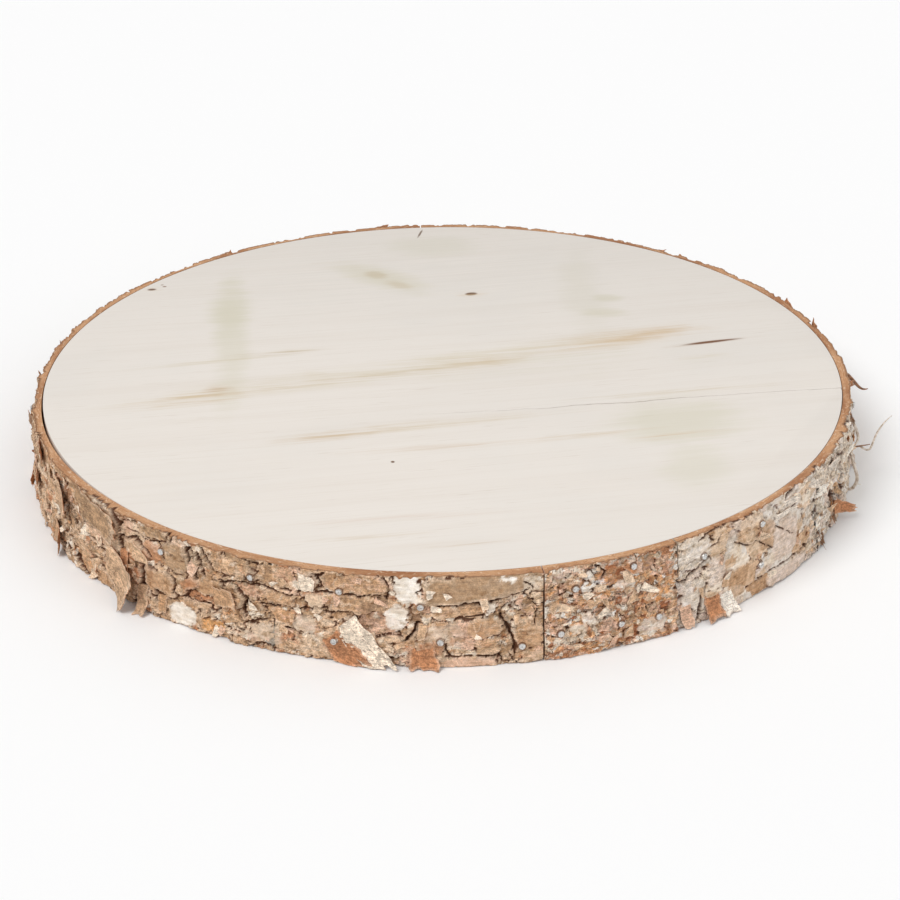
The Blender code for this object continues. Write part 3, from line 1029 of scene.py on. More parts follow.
PLATES = (
    # Round the left, where the plates are large and grey-brown.
    Plate(-140.5, 34.6, 18.6, 7.4, Tone.GREY_BROWN, 1.3, 0.9),
    Plate(-139.2, 23.6, 13.8, 4.6, Tone.SAND, 0.7),
    Plate(-144, 14, 9, 5.5, Tone.TAN, 0.6, turn=-40),
    Plate(-141, 5.5, 13, 4, Tone.TAUPE, 0.4, turn=-12),
    Plate(-133.9, 37.5, 3.6, 4, Tone.PINK, -0.4),
    Plate(-132.2, 27.2, 9, 4.3, Tone.TAN, 1.2, 0.9, turn=-14),
    Plate(-133.3, 17.5, 2.6, 5, Tone.RUST, 0.2),
    Plate(-129.2, 29.8, 6.5, 4.6, Tone.RUST, 0.1),
    Plate(-128.9, 39, 9.5, 3.4, Tone.GREY_BROWN, 0.7),
    Plate(-124.6, 39.8, 4.4, 2, Tone.PINK, 0.6),
    Plate(-124.9, 32.2, 6.6, 6.6, Tone.GREY_BROWN, 1.1, 0.3, turn=8),
    Plate(-127.8, 17, 9, 6.4, Tone.TAUPE, 1.2, 0.4, turn=8),
    # Painted shade in the recess under the raised plate above it.
    Plate(-127.9, 10.6, 2.6, 3.2, Tone.SOOT, -1.2),
    Plate(-122.9, 21.6, 4.6, 3, Tone.RUST, 0.9, turn=28),
    Plate(-124.3, 5.2, 7, 5.4, Tone.WHITE, 0, keep=0.1),
    Plate(-119.5, 4.6, 6.2, 3.2, Tone.AMBER, -0.2, keep=0.4),
    Plate(-117, 36.5, 9.5, 4.6, Tone.TAN, 0.7, turn=4),
    Plate(-110.8, 36, 9, 5.2, Tone.TAUPE, 0.6),
    Plate(-114, 27, 6, 2.6, Tone.PINK, 0.3),
    Plate(-110.2, 26.5, 6.6, 3.6, Tone.TAUPE, 0.8, turn=-6),
    Plate(-116.4, 21.8, 5.6, 4.8, Tone.GREY_BROWN, 1.2, 0.9, keep=0.45),
    Plate(-112.4, 7.4, 8.4, 4.4, Tone.CREAM, 0.2, keep=0.5),
    Plate(-109.9, 17.8, 5, 3.6, Tone.ORANGE, 0.1, keep=0.5),
    # Across the front.
    Plate(-106.5, 36.6, 4.4, 4.3, Tone.CREAM, 0.7, keep=0.6),
    Plate(-101, 37.2, 14.6, 4.6, Tone.TAUPE, 0.7),
    Plate(-101.6, 27.6, 11, 4.8, Tone.TAUPE, 0.5),
    Plate(-105.8, 27.6, 4, 3.4, Tone.SAND, 1, keep=0.12),
    Plate(-98.7, 24.4, 5.2, 5, Tone.UMBER, -0.3, keep=0.6),
    Plate(-106, 6.4, 9.4, 5, Tone.SAND, 0.2),
    Plate(-107, 15.5, 5, 4, Tone.CREAM, 0.3, keep=0.4),
    Plate(-94.5, 36.4, 5.2, 7, Tone.WHITE, 0.1, keep=0.05),
    Plate(-95.8, 22.5, 4.6, 6, Tone.WHITE, 0.2, turn=-10, keep=0.25),
    Plate(-93.5, 23, 2.4, 6, Tone.UMBER, -0.9, turn=20),
    Plate(-86.3, 36.6, 22.5, 6.2, Tone.GREY_BROWN, 0.9, 0.2, turn=6, keep=0.14),
    Plate(-82.6, 40.4, 4.6, 1.3, Tone.WHITE, 0.9, turn=-8, keep=0.1),
    Plate(-79.6, 37, 3.4, 4.6, Tone.CREAM, 0.3, keep=0.5),
    Plate(-84.6, 27.2, 1.9, 3.2, Tone.WHITE, 1.1, keep=0.1),
    Plate(-90, 25, 6.6, 3, Tone.TAN, 0.3),
    Plate(-86.6, 26, 5.2, 3.2, Tone.TAUPE, 0.3),
    Plate(-90.2, 14.4, 7.4, 6.2, Tone.CREAM, 0.2, keep=0.65),
    Plate(-85.3, 18, 7.6, 4.8, Tone.TAUPE, 0.8, 0.3, keep=0.15),
    Plate(-84.9, 8.7, 5.6, 3.9, Tone.TAN, 0.6),
    Plate(-80.3, 14.2, 6.2, 7, Tone.TAUPE, 0.6, turn=-8),
    Plate(-79.6, 2.6, 4.6, 3.4, Tone.SAND, 0.4),
    Plate(-87.2, 2, 12, 2.4, Tone.PINK, 0.5, keep=0.12),
    Plate(-91.6, 8.4, 4.8, 3.8, Tone.RUST, 0.6, turn=18),
    # The filler strip.
    Plate(-76.2, 37.6, 3.4, 3, Tone.WHITE, 0.3, keep=0.5),
    Plate(-74.5, 33.6, 3.8, 3, Tone.GREY_BROWN, 0, keep=0.4),
    Plate(-72.4, 35.8, 1.8, 2.6, Tone.WHITE, 0.5, keep=0.3),
    Plate(-72.6, 17.6, 2.4, 2.8, Tone.WHITE, 0.4, keep=0.3),
    Plate(-74, 13, 4.6, 2.6, Tone.CREAM, 0.4, keep=0.3),
    Plate(-69, 36.6, 9, 5.4, Tone.RED_BROWN, -0.2, keep=0.4),
    Plate(-65, 36.8, 3.4, 4.6, Tone.UMBER, -0.5, keep=0.4),
    Plate(-68, 29, 5.6, 1.7, Tone.WHITE, 0.4, keep=0.3),
    Plate(-61.8, 31, 2.4, 5.4, Tone.RED_BROWN, 0.3),
    Plate(-63.6, 20.6, 6, 3.6, Tone.AMBER, 0.2, keep=0.5),
    Plate(-64, 7.4, 6.6, 4.2, Tone.WHITE, 0.2, keep=0.4),
    Plate(-69.6, 5, 6, 3, Tone.ORANGE, 0.1, keep=0.6),
    Plate(-61.2, 13, 1.8, 11, Tone.SAND, 0.4),
    # Round the right, where the bark is grey and papery.
    Plate(-57.4, 36, 7.6, 5.4, Tone.SILVER, 0.5),
    Plate(-57.9, 14.6, 6, 6.6, Tone.SILVER, 0.4),
    Plate(-54.2, 22, 5.6, 6.4, Tone.PINK_GREY, 0.8),
    Plate(-53.6, 36.4, 4.4, 4.4, Tone.SAND, 0.7),
    Plate(-48.4, 30.4, 3, 3.2, Tone.SAND, 0.8, turn=-20),
    Plate(-44.9, 27, 5.6, 7, Tone.TAUPE, 0.4, turn=-10, keep=0.5),
    Plate(-50.6, 12, 6, 7, Tone.TAUPE, 0.2, keep=0.5),
    Plate(-48, 38, 8, 3.6, Tone.SAND, 0.3, keep=0.4),
    Plate(-41, 20, 10, 9, Tone.PINK_GREY, 0.5, keep=0.12),
    Plate(-40.5, 4, 16, 4, Tone.PINK_GREY, 0.9, keep=0.1),
    Plate(-30.6, 31, 7, 6, Tone.SILVER, 0.8, keep=0.55),
    Plate(-30.6, 1.6, 3.6, 1.8, Tone.UMBER, -0.6),
    # Painted shade in the recess under the curled flake at -25.2.
    Plate(-22.4, 11, 6, 6.4, Tone.SOOT, -1.6),
)

CRACKS = (
    # The first crack is painted shadow: it darkens a wide recess at the right edge of the big curled flake.
    Crack(((-131, 21.6), (-130.8, 14), (-131.8, 6), (-132.8, 0)), 3.4, 2.6),
    Crack(((-136.6, 42), (-135.2, 36.5), (-134.9, 31)), 2.2, 3),
    Crack(((-146, 20.6), (-143.2, 14.8), (-140.6, 10), (-138.6, 8.4)), 0.9),
    Crack(((-146.4, 21.6), (-141.5, 21), (-137.4, 21.2)), 0.6),
    Crack(((-139.6, 19), (-138.2, 17.4), (-137, 20.4)), 0.7),
    Crack(((-134.4, 30.8), (-132.4, 32.6), (-130.8, 30.6), (-129.4, 27.4)), 1, 2),
    Crack(((-130.8, 22.9), (-129.6, 23.9), (-128.2, 22.8)), 1.3, 2.2),
    Crack(((-134, 35), (-130, 36.2), (-126.8, 37.4), (-126.3, 41.6)), 0.5, 0.8),
    Crack(((-123.2, 39.4), (-122.7, 32), (-121.9, 25.4)), 1.5, 3),
    Crack(((-121.8, 37.4), (-121.3, 33), (-120.7, 28)), 1.1, 2.4),
    Crack(((-121.2, 40.8), (-120.4, 36.8), (-119.4, 33.2)), 1.3, 2),
    Crack(((-125.6, 23), (-125, 19.4), (-125.5, 15.4)), 0.9, 1.6),
    Crack(((-118.2, 27.2), (-115.8, 30.4), (-112.6, 30), (-108.6, 27.6)), 0.7),
    Crack(((-115.6, 26.4), (-114.5, 22.4), (-115.2, 17.2)), 1.2, 2.2),
    Crack(((-112.8, 21.8), (-109.8, 21.4), (-107, 22.8), (-103.6, 22.6)), 0.6),
    Crack(((-105.3, 38.6), (-104.8, 34.6), (-106.2, 31)), 0.9, 1.4),
    Crack(((-107.6, 31.2), (-103.4, 32.4), (-99.6, 32)), 0.6),
    Crack(((-97.2, 41), (-96.6, 36), (-97, 31)), 0.8),
    Crack(((-91.6, 27.4), (-88.4, 28.4), (-86.4, 29.4), (-83.2, 31), (-80, 34)), 0.7, 1.4),
    Crack(((-88.6, 42), (-88, 40.8), (-87.3, 42)), 0.8, 0.8),
    Crack(((-80.6, 38.6), (-79.5, 35), (-80, 29.4)), 0.6),
    Crack(((-87.6, 23.4), (-85.4, 24)), 0.9),
    Crack(((-83.5, 23.6), (-82.6, 17.4), (-81.8, 11), (-81.6, 4.6)), 1.2, 1.8),
    Crack(((-90, 4.8), (-87, 5), (-83.6, 4.6), (-83.1, 1)), 0.9, 1.5),
    Crack(((-94.8, 11), (-94, 15.6), (-93.2, 20.2)), 1.2, 2),
    Crack(((-90.2, 14), (-90, 9), (-89.4, 4.8)), 0.7),
    Crack(((-79, 24), (-79.4, 18)), 0.7),
    Crack(((-71.6, 40.6), (-70.4, 37.4), (-70.8, 34.8)), 1.2, 1.6),
    Crack(((-66.4, 38.4), (-65.8, 34.6)), 1.6, 2.2),
    Crack(((-60.2, 22.2), (-58.9, 21.8), (-58.6, 24.3), (-57.3, 25.3), (-56.8, 27.4), (-55.4, 30)), 1.1, 1.8),
    Crack(((-57.2, 39.2), (-55.2, 41.2), (-52, 41.8), (-47.6, 40.8)), 0.8, 1.2),
    Crack(((-55.4, 34.4), (-54, 35.6), (-53.6, 38.4)), 0.7),
    Crack(((-55.8, 17), (-56.7, 11.4), (-57.1, 1.6)), 2.2, 3.2),
    Crack(((-51, 31.8), (-49, 27.2), (-47, 27), (-43.9, 19.2)), 0.5),
    Crack(((-44.4, 31.2), (-41, 32.6), (-38, 32.9)), 0.8, 1.2),
    Crack(((-41.2, 39.2), (-40, 40.6), (-38.4, 41)), 1.5, 1.8),
    Crack(((-40.4, 35), (-38.6, 35.9)), 1.3),
    Crack(((-43.4, 29.4), (-41.3, 24.6), (-39.2, 20)), 0.5),
    Crack(((-48.8, 6.9), (-46, 8.1), (-41.4, 8.8), (-38.4, 8.2), (-34.8, 9.4)), 0.9, 1.5),
    Crack(((-36.4, 10), (-35.6, 8)), 1.8, 1.6),
    Crack(((-36.8, 26), (-36.2, 19.6)), 0.7),
    Crack(((-33.8, 41.2), (-32, 41.8)), 1.6, 1.8),
    Crack(((-33, 33), (-32.4, 26)), 0.8),
    Crack(((-26.8, 28.8), (-23.4, 30.2)), 1.5, 1.8),
    Crack(((-27, 21), (-26, 16), (-25.2, 11)), 5.6, 2.4),
)


@dataclass
class BarkSurface:
    """Relief, colour, painted shade and weathering of the bark over arrays of places.

    Attributes:
        angle: the places' angles.
        height: the places' heights.
        grain: how large the plates are, 1 for most of the bark.
        relief: millimetres above the mean face.
        colour: linear colours, with a last axis of three.
        dirt_and_shade: how dark each place is with painted shade and grime, 0 to 1.
        crumble: how crumbly it is, 0 to 1.
        paper: how papery it is, 0 to 1.
    """

    angle: Array
    height: Array
    grain: float = 1.0
    relief: Array = field(init=False)
    colour: Array = field(init=False)
    dirt_and_shade: Array = field(init=False)
    crumble: Array = field(init=False)
    paper: Array = field(init=False)

    def __post_init__(self) -> None:
        """Grows the bark, then lays the plates and opens the cracks that lie in known places."""
        self.around = np.radians(self.angle) * FACE_RADIUS
        self.bits = break_up(self.around / 1.7, self.height / 1.1, 34)
        self.fray_x = 0.8 * self.noise(3.2, 2.6, 11) + 1.1 * (self.bits.chance(35) - 0.5)
        self.fray_y = 0.7 * self.noise(3.6, 2.4, 13) + 0.9 * (self.bits.chance(36) - 0.5)
        self.spots = ramp(self.noise(2.6, 1.7, 29) + 0.5 * self.noise(0.9, 0.8, 30), 0.5, 0.9)
        self.grow()
        for plate in PLATES:
            self.lay(plate)
        for crack in CRACKS:
            self.open(crack)

    def noise(self, along: float, up: float, seed: int) -> Array:
        """Noise whose bumps are `along` by `up` millimetres."""
        return wave(self.around / along, self.height / up, seed)

    def style(self, key: str) -> Array:
        """One of the growths' numbers at each place, changing over a few millimetres between stretches.

        Args:
            key: which of a growth's numbers.

        Returns:
            The number at each place.
        """
        value = np.zeros_like(self.angle) + getattr(STRETCHES[0][1], key)
        wander = self.angle + 2.0 * self.noise(9.0, 12.0, 71)
        for start, growth in STRETCHES[1:]:
            hard = start in (FRONT_SEAM, FILLER_SEAM)
            there = (self.angle > start).astype(float) if hard else ramp(wander, start - 1.0, start + 1.0)
            value = mix(value, getattr(growth, key), there)
        return value

    def tones(self, pick: Array) -> Array:
        """The colour that each place's own palette gives for a chance of 0 to 1.

        Args:
            pick: the chances.

        Returns:
            The linear colours.
        """
        colour = np.zeros((*self.angle.shape, 3))
        wander = self.angle + 3.0 * (pick - 0.5)
        for index, (start, growth) in enumerate(STRETCHES):
            end = STRETCHES[index + 1][0] if index + 1 < len(STRETCHES) else math.inf
            at_seam = FRONT_SEAM in (start, end) or FILLER_SEAM in (start, end)
            place = self.angle if at_seam else wander
            shares = np.cumsum([share for _, share in growth.palette])
            table = np.array([tone.rgb for tone, _ in growth.palette])
            chosen = table[np.searchsorted(shares / shares[-1], np.clip(pick, 0.0, 0.9999))]
            here = (place >= start) & (place < end)
            colour[here] = chosen[here]
        return colour

    def grow(self) -> None:
        """Grows plates on plates, each size broken up more finely than the last."""
        x = self.around + 2.8 * self.noise(14.0, 10.0, 21) + self.fray_x
        y = self.height + 1.9 * self.noise(11.0, 8.0, 22) + self.fray_y
        broad = break_up(x / (15.0 * self.grain), y / (8.5 * self.grain), 31)
        middle = break_up(x / (6.6 * self.grain), y / (4.0 * self.grain), 32)
        chips = break_up(x / (2.7 * self.grain), y / (1.7 * self.grain), 33)
        rough = np.clip(self.style("rough") + 0.45 * self.noise(16.0, 11.0, 23), 0.0, 1.0)
        steps = self.style("steps")
        face = 1.5 * (broad.chance(41) - 0.5) + 1.0 * (broad.chance(42) - 0.4) * broad.east
        face += 0.9 * (broad.chance(43) - 0.5) * broad.north
        tilt = (middle.chance(45) - 0.4) * middle.east
        face += (0.35 + 0.75 * rough) * (1.0 * (middle.chance(44) - 0.5) + 1.1 * tilt)
        tilt = (chips.chance(47) - 0.4) * chips.north
        face += rough * (0.85 * (chips.chance(46) - 0.5) + 0.8 * tilt)
        opened = (broad.chance(48) < self.style("cracks")) * ramp(0.06 - broad.edge, 0.0, 0.05)
        seams = (middle.chance(58) < 0.35 + 0.4 * rough) * ramp(0.11 - middle.edge, 0.0, 0.08)
        scales = (chips.chance(59) < 0.55 * rough) * ramp(0.14 - chips.edge, 0.0, 0.1)
        face -= 0.65 * opened + 0.3 * seams + 0.2 * scales
        self.relief = steps * face + 0.35 * self.noise(24.0, 17.0, 24) + 0.1 * self.noise(1.7, 1.0, 25)
        self.relief += (0.12 + 0.3 * rough) * (self.bits.chance(37) - 0.5)
        by_plate = np.where(broad.chance(49) < 0.55, broad.chance(50), middle.chance(51))
        by_chance = np.where(chips.chance(52) < 0.55 * rough, chips.chance(53), by_plate)
        self.colour = self.tones(by_chance)
        self.colour *= self.weathering(middle, chips, rough)[..., None] ** WARMTH
        # Painted shade and grime darken the opened cracks, seams and chip edges.
        self.dirt_and_shade = np.maximum(0.65 * opened, np.maximum(0.5 * seams, 0.45 * scales))
        self.crumble = rough
        self.paper = ramp(self.colour.mean(axis=-1), 0.5, 0.8)

    def weathering(self, middle: Cells, chips: Cells, rough: Array) -> Array:
        """How much lighter or darker each place has weathered than its tone.

        Args:
            middle: the middling plates.
            chips: the small plates.
            rough: how crumbly each place is.

        Returns:
            A factor for each place.
        """
        shade = 1.0 + 0.16 * (middle.chance(54) - 0.5) + 0.1 * self.noise(5.0, 3.0, 26)
        shade += (0.1 + 0.3 * rough) * (chips.chance(55) - 0.5) + 0.22 * (self.bits.chance(56) - 0.5)
        shade += 0.12 * self.noise(7.0, 0.9, 27) + 0.1 * self.noise(1.6, 1.2, 28)
        return shade * (1.0 - 0.34 * self.spots)

    def lay(self, plate: Plate) -> None:
        """Lays one plate over what has grown.

        Args:
            plate: the plate.
        """
        torn = 1.6 if plate.tone is Tone.WHITE else 1.1
        along = self.around - math.radians(plate.angle) * FACE_RADIUS + torn * self.fray_x
        up = self.height - plate.height + torn * self.fray_y
        c, s = math.cos(math.radians(plate.turn)), math.sin(math.radians(plate.turn))
        u = (along * c + up * s) / plate.half_width
        v = (up * c - along * s) / plate.half_height
        out = (np.abs(u) ** 3.2 + np.abs(v) ** 3.2) ** (1 / 3.2)
        inside = (1.0 - out) * min(plate.half_width, plate.half_height)
        share = ramp(inside, -0.1, 0.35)
        face = plate.level + plate.lean * u + plate.lift * v + plate.keep * self.relief
        self.relief = mix(self.relief, face, share)
        worn = 1.0 + 0.12 * self.noise(4.0, 2.4, 61) + 0.16 * self.noise(6.0, 0.9, 27)
        worn += 0.1 * self.noise(1.6, 1.2, 28) + (0.1 + 0.5 * plate.keep) * (self.bits.chance(57) - 0.5)
        worn *= 1.0 - min(0.45, 1.4 * plate.keep) * self.spots
        tint = np.array(plate.tone.rgb) * worn[..., None] ** WARMTH
        fresh = mix(tint, self.colour, (plate.keep * (0.6 + 0.8 * self.crumble))[..., None])
        self.colour = mix(self.colour, fresh, share[..., None])
        self.crumble = mix(self.crumble, np.clip(2.2 * plate.keep, 0.0, 1.0) * self.crumble, share)
        self.paper = mix(self.paper, float(plate.tone in (Tone.WHITE, Tone.CREAM)), share)
        self.dirt_and_shade = mix(self.dirt_and_shade, self.dirt_and_shade * plate.keep, share)

    def open(self, crack: Crack) -> None:
        """Opens one crack.

        Args:
            crack: the crack.
        """
        scale = math.radians(1.0) * FACE_RADIUS
        x, y = self.around + 0.6 * self.fray_x, self.height + 0.6 * self.fray_y
        nearest = np.full(self.angle.shape, math.inf)
        for (a0, h0), (a1, h1) in zip(crack.line, crack.line[1:]):
            dx, dy = (a1 - a0) * scale, h1 - h0
            t = np.clip(((x - a0 * scale) * dx + (y - h0) * dy) / (dx * dx + dy * dy), 0.0, 1.0)
            nearest = np.minimum(nearest, np.hypot(x - a0 * scale - t * dx, y - h0 - t * dy))
        half = 0.5 * crack.width * (1.0 + 0.5 * self.noise(4.0, 4.0, 62))
        share = 1.0 - ramp(nearest, 0.3 * half, half + 0.2)
        if crack.width < 1.0:
            share = share * ramp(self.noise(2.6, 2.6, 63), -0.8, -0.1)
        self.relief = self.relief - crack.depth * share
        # Painted shade and grime fill the crack, darkest along its middle.
        self.dirt_and_shade = np.maximum(self.dirt_and_shade, 0.9 * share)

    def seat(self, nails: list["Nail"]) -> None:
        """Brings the bark up or down to meet the nails' heads, and paints shade in a ring round them.

        Args:
            nails: the nails.
        """
        for nail in nails:
            along = self.around - math.radians(nail.angle) * FACE_RADIUS
            away = np.hypot(along, self.height - nail.height)
            level = nail.seat - mean_face(np.array(nail.angle), np.array(nail.height)) - 0.05
            share = 1.0 - ramp(away, 1.5, 3.2)
            low = np.minimum(self.relief, level)
            self.relief = mix(np.where(away < 2.2, low, self.relief), float(level), share)
            # Painted shade: a dark ring just outside each head, where it meets the bark.
            ring = np.exp(-(((away - 1.65) / 0.4) ** 2))
            self.dirt_and_shade = np.maximum(self.dirt_and_shade, 0.8 * ring)

    def weather(self) -> None:
        """Paints shade in hollows, under and beside steps, and highlight on raised edges. The places have to
        be a grid.
        """
        # Painted shade darkens places lower than their surroundings, places just below a higher step and
        # places just right of a higher plate.
        close = soften(self.relief, 2) - self.relief
        wide = soften(self.relief, 5) - self.relief
        hollow_shade = ramp(close, 0.12, 0.7) * 0.65 + ramp(wide, 0.35, 1.3) * 0.45
        above, below = np.zeros_like(self.relief), np.zeros_like(self.relief)
        for step in (1, 2):
            drop = self.relief[:, step:] - self.relief[:, :-step]
            above[:, :-step] = np.maximum(above[:, :-step], drop)
            below[:, step:] = np.maximum(below[:, step:], -drop)
        beside = np.zeros_like(self.relief)
        beside[1:] = self.relief[:-1] - self.relief[1:]
        shadow = np.maximum(ramp(above, 0.2, 0.95), 0.8 * ramp(beside, 0.25, 1.1))
        self.dirt_and_shade = np.clip(np.maximum(self.dirt_and_shade, hollow_shade) + 0.4 * shadow, 0.0, 1.0)
        # Painted highlight: raised places and the upper edges of steps are lightened towards cream.
        worn = ramp(-close, 0.12, 0.5) * 0.25 + ramp(below, 0.2, 0.7) * 0.35
        self.colour = mix(self.colour, np.array(Tone.CREAM.rgb), worn[..., None])


@dataclass(frozen=True)
class Nail:
    """A wire nail's place.

    Attributes:
        node: its CAD node.
        angle: its head's angle.
        height: its head's height.
        seat: the radius of the head's underside.
    """

    node: str
    angle: float
    height: float
    seat: float

    @staticmethod
    def of(node: str) -> "Nail":
        """Reads a nail's place from its CAD node.

        Args:
            node: the node.

        Returns:
            The nail.
        """
        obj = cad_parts[node]
        co = np.array([v.co for v in obj.data.vertices]) / MM
        radius = np.hypot(co[:, 0], co[:, 1])
        head = co[radius > radius.max() - 0.05]
        middle = head.mean(axis=0)
        angle = math.degrees(math.atan2(middle[1], middle[0]))
        out = math.hypot(middle[0], middle[1])
        return Nail(node, angle, middle[2], out - NailHead.thickness)


@dataclass
class NailHead:
    """A nail with a flat head whose rim is soft, on a pointed shank.

    Attributes:
        nail: its place.
        finish: its material.
        radius: the head's radius, in millimetres.
        thickness: the head's thickness.
        shank: the shank's radius.
        length: the shank's length without its point.
        point: the point's length.
        lean: how far it may lean, in radians.
    """

    nail: Nail
    finish: Finish
    radius: float = 1.4
    thickness: float = 0.7
    shank: float = 0.8
    length: float = 17.5
    point: float = 1.5
    lean: float = 0.16

    def build(self) -> Piece:
        """Models the nail and stands it in place of the CAD nail.

        Returns:
            The piece.
        """
        deselect()
        bpy.ops.mesh.primitive_cylinder_add(vertices=16, radius=self.radius * MM, depth=self.thickness * MM)
        piece = new_name(self.nail.node + "_wire")
        bpy.ops.object.mode_set(mode="EDIT")
        self.select_end(piece, 1.0)
        bpy.ops.mesh.bevel(offset=0.22 * MM, segments=2)
        self.select_end(piece, -1.0)
        bpy.ops.mesh.inset(thickness=(self.radius - self.shank) * MM)
        for length in (self.length, self.point):
            bpy.ops.mesh.extrude_region_move(TRANSFORM_OT_translate={"value": (0.0, 0.0, -length * MM)})
        bpy.ops.mesh.merge(type="CENTER")
        bpy.ops.object.mode_set(mode="OBJECT")
        lift = self.nail.seat + self.thickness / 2
        place = Vector(on_edge(np.array(self.nail.angle), np.array(lift), np.array(self.nail.height)))
        nod = self.lean * math.sin(12.9 * self.nail.angle)
        swing = self.lean * math.sin(7.3 * self.nail.angle)
        turn = Matrix.Rotation(math.radians(self.nail.angle) + swing, 4, "Z")
        turn = turn @ Matrix.Rotation(math.pi / 2 + nod, 4, "Y")
        piece.data.transform(Matrix.Translation(place) @ turn)
        piece.location = (0.0, 0.0, 0.0)
        piece.data.materials.append(self.finish)
        smooth(piece, 35.0)
        settle(piece, "nail_steel", self.nail.node)
        return piece

    def select_end(self, piece: Piece, way: float) -> None:
        """Selects the head's flat face on one side, in edit mode.

        Args:
            piece: the nail.
            way: 1 for the upper side, -1 for the lower.
        """
        bpy.ops.mesh.select_all(action="DESELECT")
        shell = bmesh.from_edit_mesh(piece.data)
        for face in shell.faces:
            face.select_set(face.normal.z * way > 0.9)
        bmesh.update_edit_mesh(piece.data)


@dataclass
class BarkStrip:
    """One strip of bark bent round the disc.

    Attributes:
        node: the CAD node it stands for.
        start: its first angle.
        end: its last angle.
        nails: the nails through it.
        bark: the outer face's material.
        cut: the sawn faces' material.
        proud: how far it stands above its neighbours.
        pitch: the grid's spacing along the edge.
        rows: the grid's rows up the outer face.
        grain: how large the bark's plates are.
        ring_rows: the grid's rows across the sawn top.
        back_rows: its rows down the back.
        foot_rows: its rows across the underside.
    """

    node: str
    start: float
    end: float
    nails: list[Nail]
    bark: Finish
    cut: Finish
    proud: float = 0.0
    pitch: float = 0.62
    rows: int = 70
    grain: float = 1.0
    ring_rows: int = 7
    back_rows: int = 3
    foot_rows: int = 3

    def build(self) -> Piece:
        """Models the strip.

        Returns:
            The piece.
        """
        trim = math.degrees(SEAM_HALF_GAP / BARK_INNER)
        first, last = self.start + trim, self.end - trim
        columns = round(math.radians(last - first) * BARK_INNER / self.pitch)
        around_rows = self.rows + self.ring_rows + self.back_rows + self.foot_rows
        deselect()
        bpy.ops.mesh.primitive_grid_add(x_subdivisions=columns, y_subdivisions=around_rows, size=1.0)
        piece = new_name(self.node + "_bark")
        mesh = piece.data
        co = np.zeros(len(mesh.vertices) * 3, np.float32)
        mesh.vertices.foreach_get("co", co)
        co = co.reshape(-1, 3)
        i = np.rint((co[:, 0] + 0.5) * columns).astype(int)
        k = np.rint((co[:, 1] + 0.5) * around_rows).astype(int)
        angles = np.linspace(first, last, columns + 1)
        points, wrap, surface = self.section(angles)
        set_points(mesh, points[i, k])
        self.map_and_paint(mesh, i, k, wrap, surface)
        self.dress(mesh)
        self.close(piece)
        smooth(piece, 38.0)
        settle(piece, "birch_bark", self.node)
        return piece

    def section(self, angles: Array) -> tuple[Array, Array, BarkSurface]:
        """Works out the strip's points, going up the outer face, in over the top, down the back and out.

        Args:
            angles: the columns' angles.

        Returns:
            The points, their places on the unrolled strip in metres, and the outer face's surface.
        """
        foot = 0.35 + 0.3 * wave(angles / 1.6, angles * 0, 81) + 0.25 * wave(angles / 0.5, angles * 0, 82)
        chipped = wave(angles / 1.7, angles * 0, 83) + 0.7 * wave(angles / 0.45, angles * 0, 84)
        rim = SLICE_HEIGHT - 0.1 - 1.3 * ramp(chipped, 0.1, 1.3)
        share = np.linspace(0.0, 1.0, self.rows + 1)
        height = foot[:, None] + (rim - foot)[:, None] * share[None, :]
        angle = np.repeat(angles[:, None], self.rows + 1, axis=1)
        surface = BarkSurface(angle, height, self.grain)
        surface.relief = surface.relief + self.proud
        surface.seat(self.nails)
        surface.weather()
        inner = inner_radius(angles)[:, None]
        outer = np.maximum(mean_face(angle, height) + surface.relief, inner + 1.6)
        ring = np.linspace(0.0, 1.0, self.ring_rows + 1)[None, 1:]
        back = np.linspace(0.0, 1.0, self.back_rows + 1)[None, 1:]
        base = np.linspace(0.0, 1.0, self.foot_rows + 1)[None, 1:]
        top_radius = mix(outer[:, -1:], inner, ring)
        radius = np.hstack([outer, top_radius, inner + 0 * back, mix(inner, outer[:, :1], base)])
        worn = 0.25 * wave(angles[:, None] / 0.5, ring * 6.0, 85) - 0.25
        top = mix(rim[:, None], SLICE_HEIGHT, ramp(ring, 0.0, 0.45)) + worn * np.sin(np.pi * ring)
        low = foot[:, None]
        level = np.hstack([height, top, mix(SLICE_HEIGHT, low, back), low + 0 * base])
        travel = np.cumsum(np.hypot(np.diff(radius), np.diff(level)), axis=1)
        past_rim = travel[:, self.rows :] - travel[:, self.rows - 1 : self.rows]
        flat = np.hstack([height, SLICE_HEIGHT + past_rim])
        unrolled = np.radians(np.repeat(angles[:, None], radius.shape[1], axis=1)) * BARK_INNER
        return on_edge(angles[:, None], radius, level), np.stack([unrolled, flat], axis=-1) * MM, surface

    def map_and_paint(
        self, mesh: bpy.types.Mesh, i: Array, k: Array, wrap: Array, surface: BarkSurface
    ) -> None:
        """Stores the unrolled places as the UV map, and the bark's colour, painted shade and weathering as
        attributes.

        Args:
            mesh: the strip's mesh.
            i: each vertex's column.
            k: each vertex's row.
            wrap: the unrolled places.
            surface: the outer face's surface.
        """
        corner = np.zeros(len(mesh.loops), np.int32)
        mesh.loops.foreach_get("vertex_index", corner)
        layer = mesh.uv_layers[0] if mesh.uv_layers else mesh.uv_layers.new()
        layer.name = "wrap"
        layer.data.foreach_set("uv", wrap[i[corner], k[corner]].astype(np.float32).ravel())
        row = np.minimum(k, self.rows)
        paint(mesh, "bark_colour", surface.colour[i, row])
        shade_and_wear = np.stack([surface.dirt_and_shade, surface.crumble, surface.paper], axis=-1)
        paint(mesh, "bark_shade_and_wear", shade_and_wear[i, row])

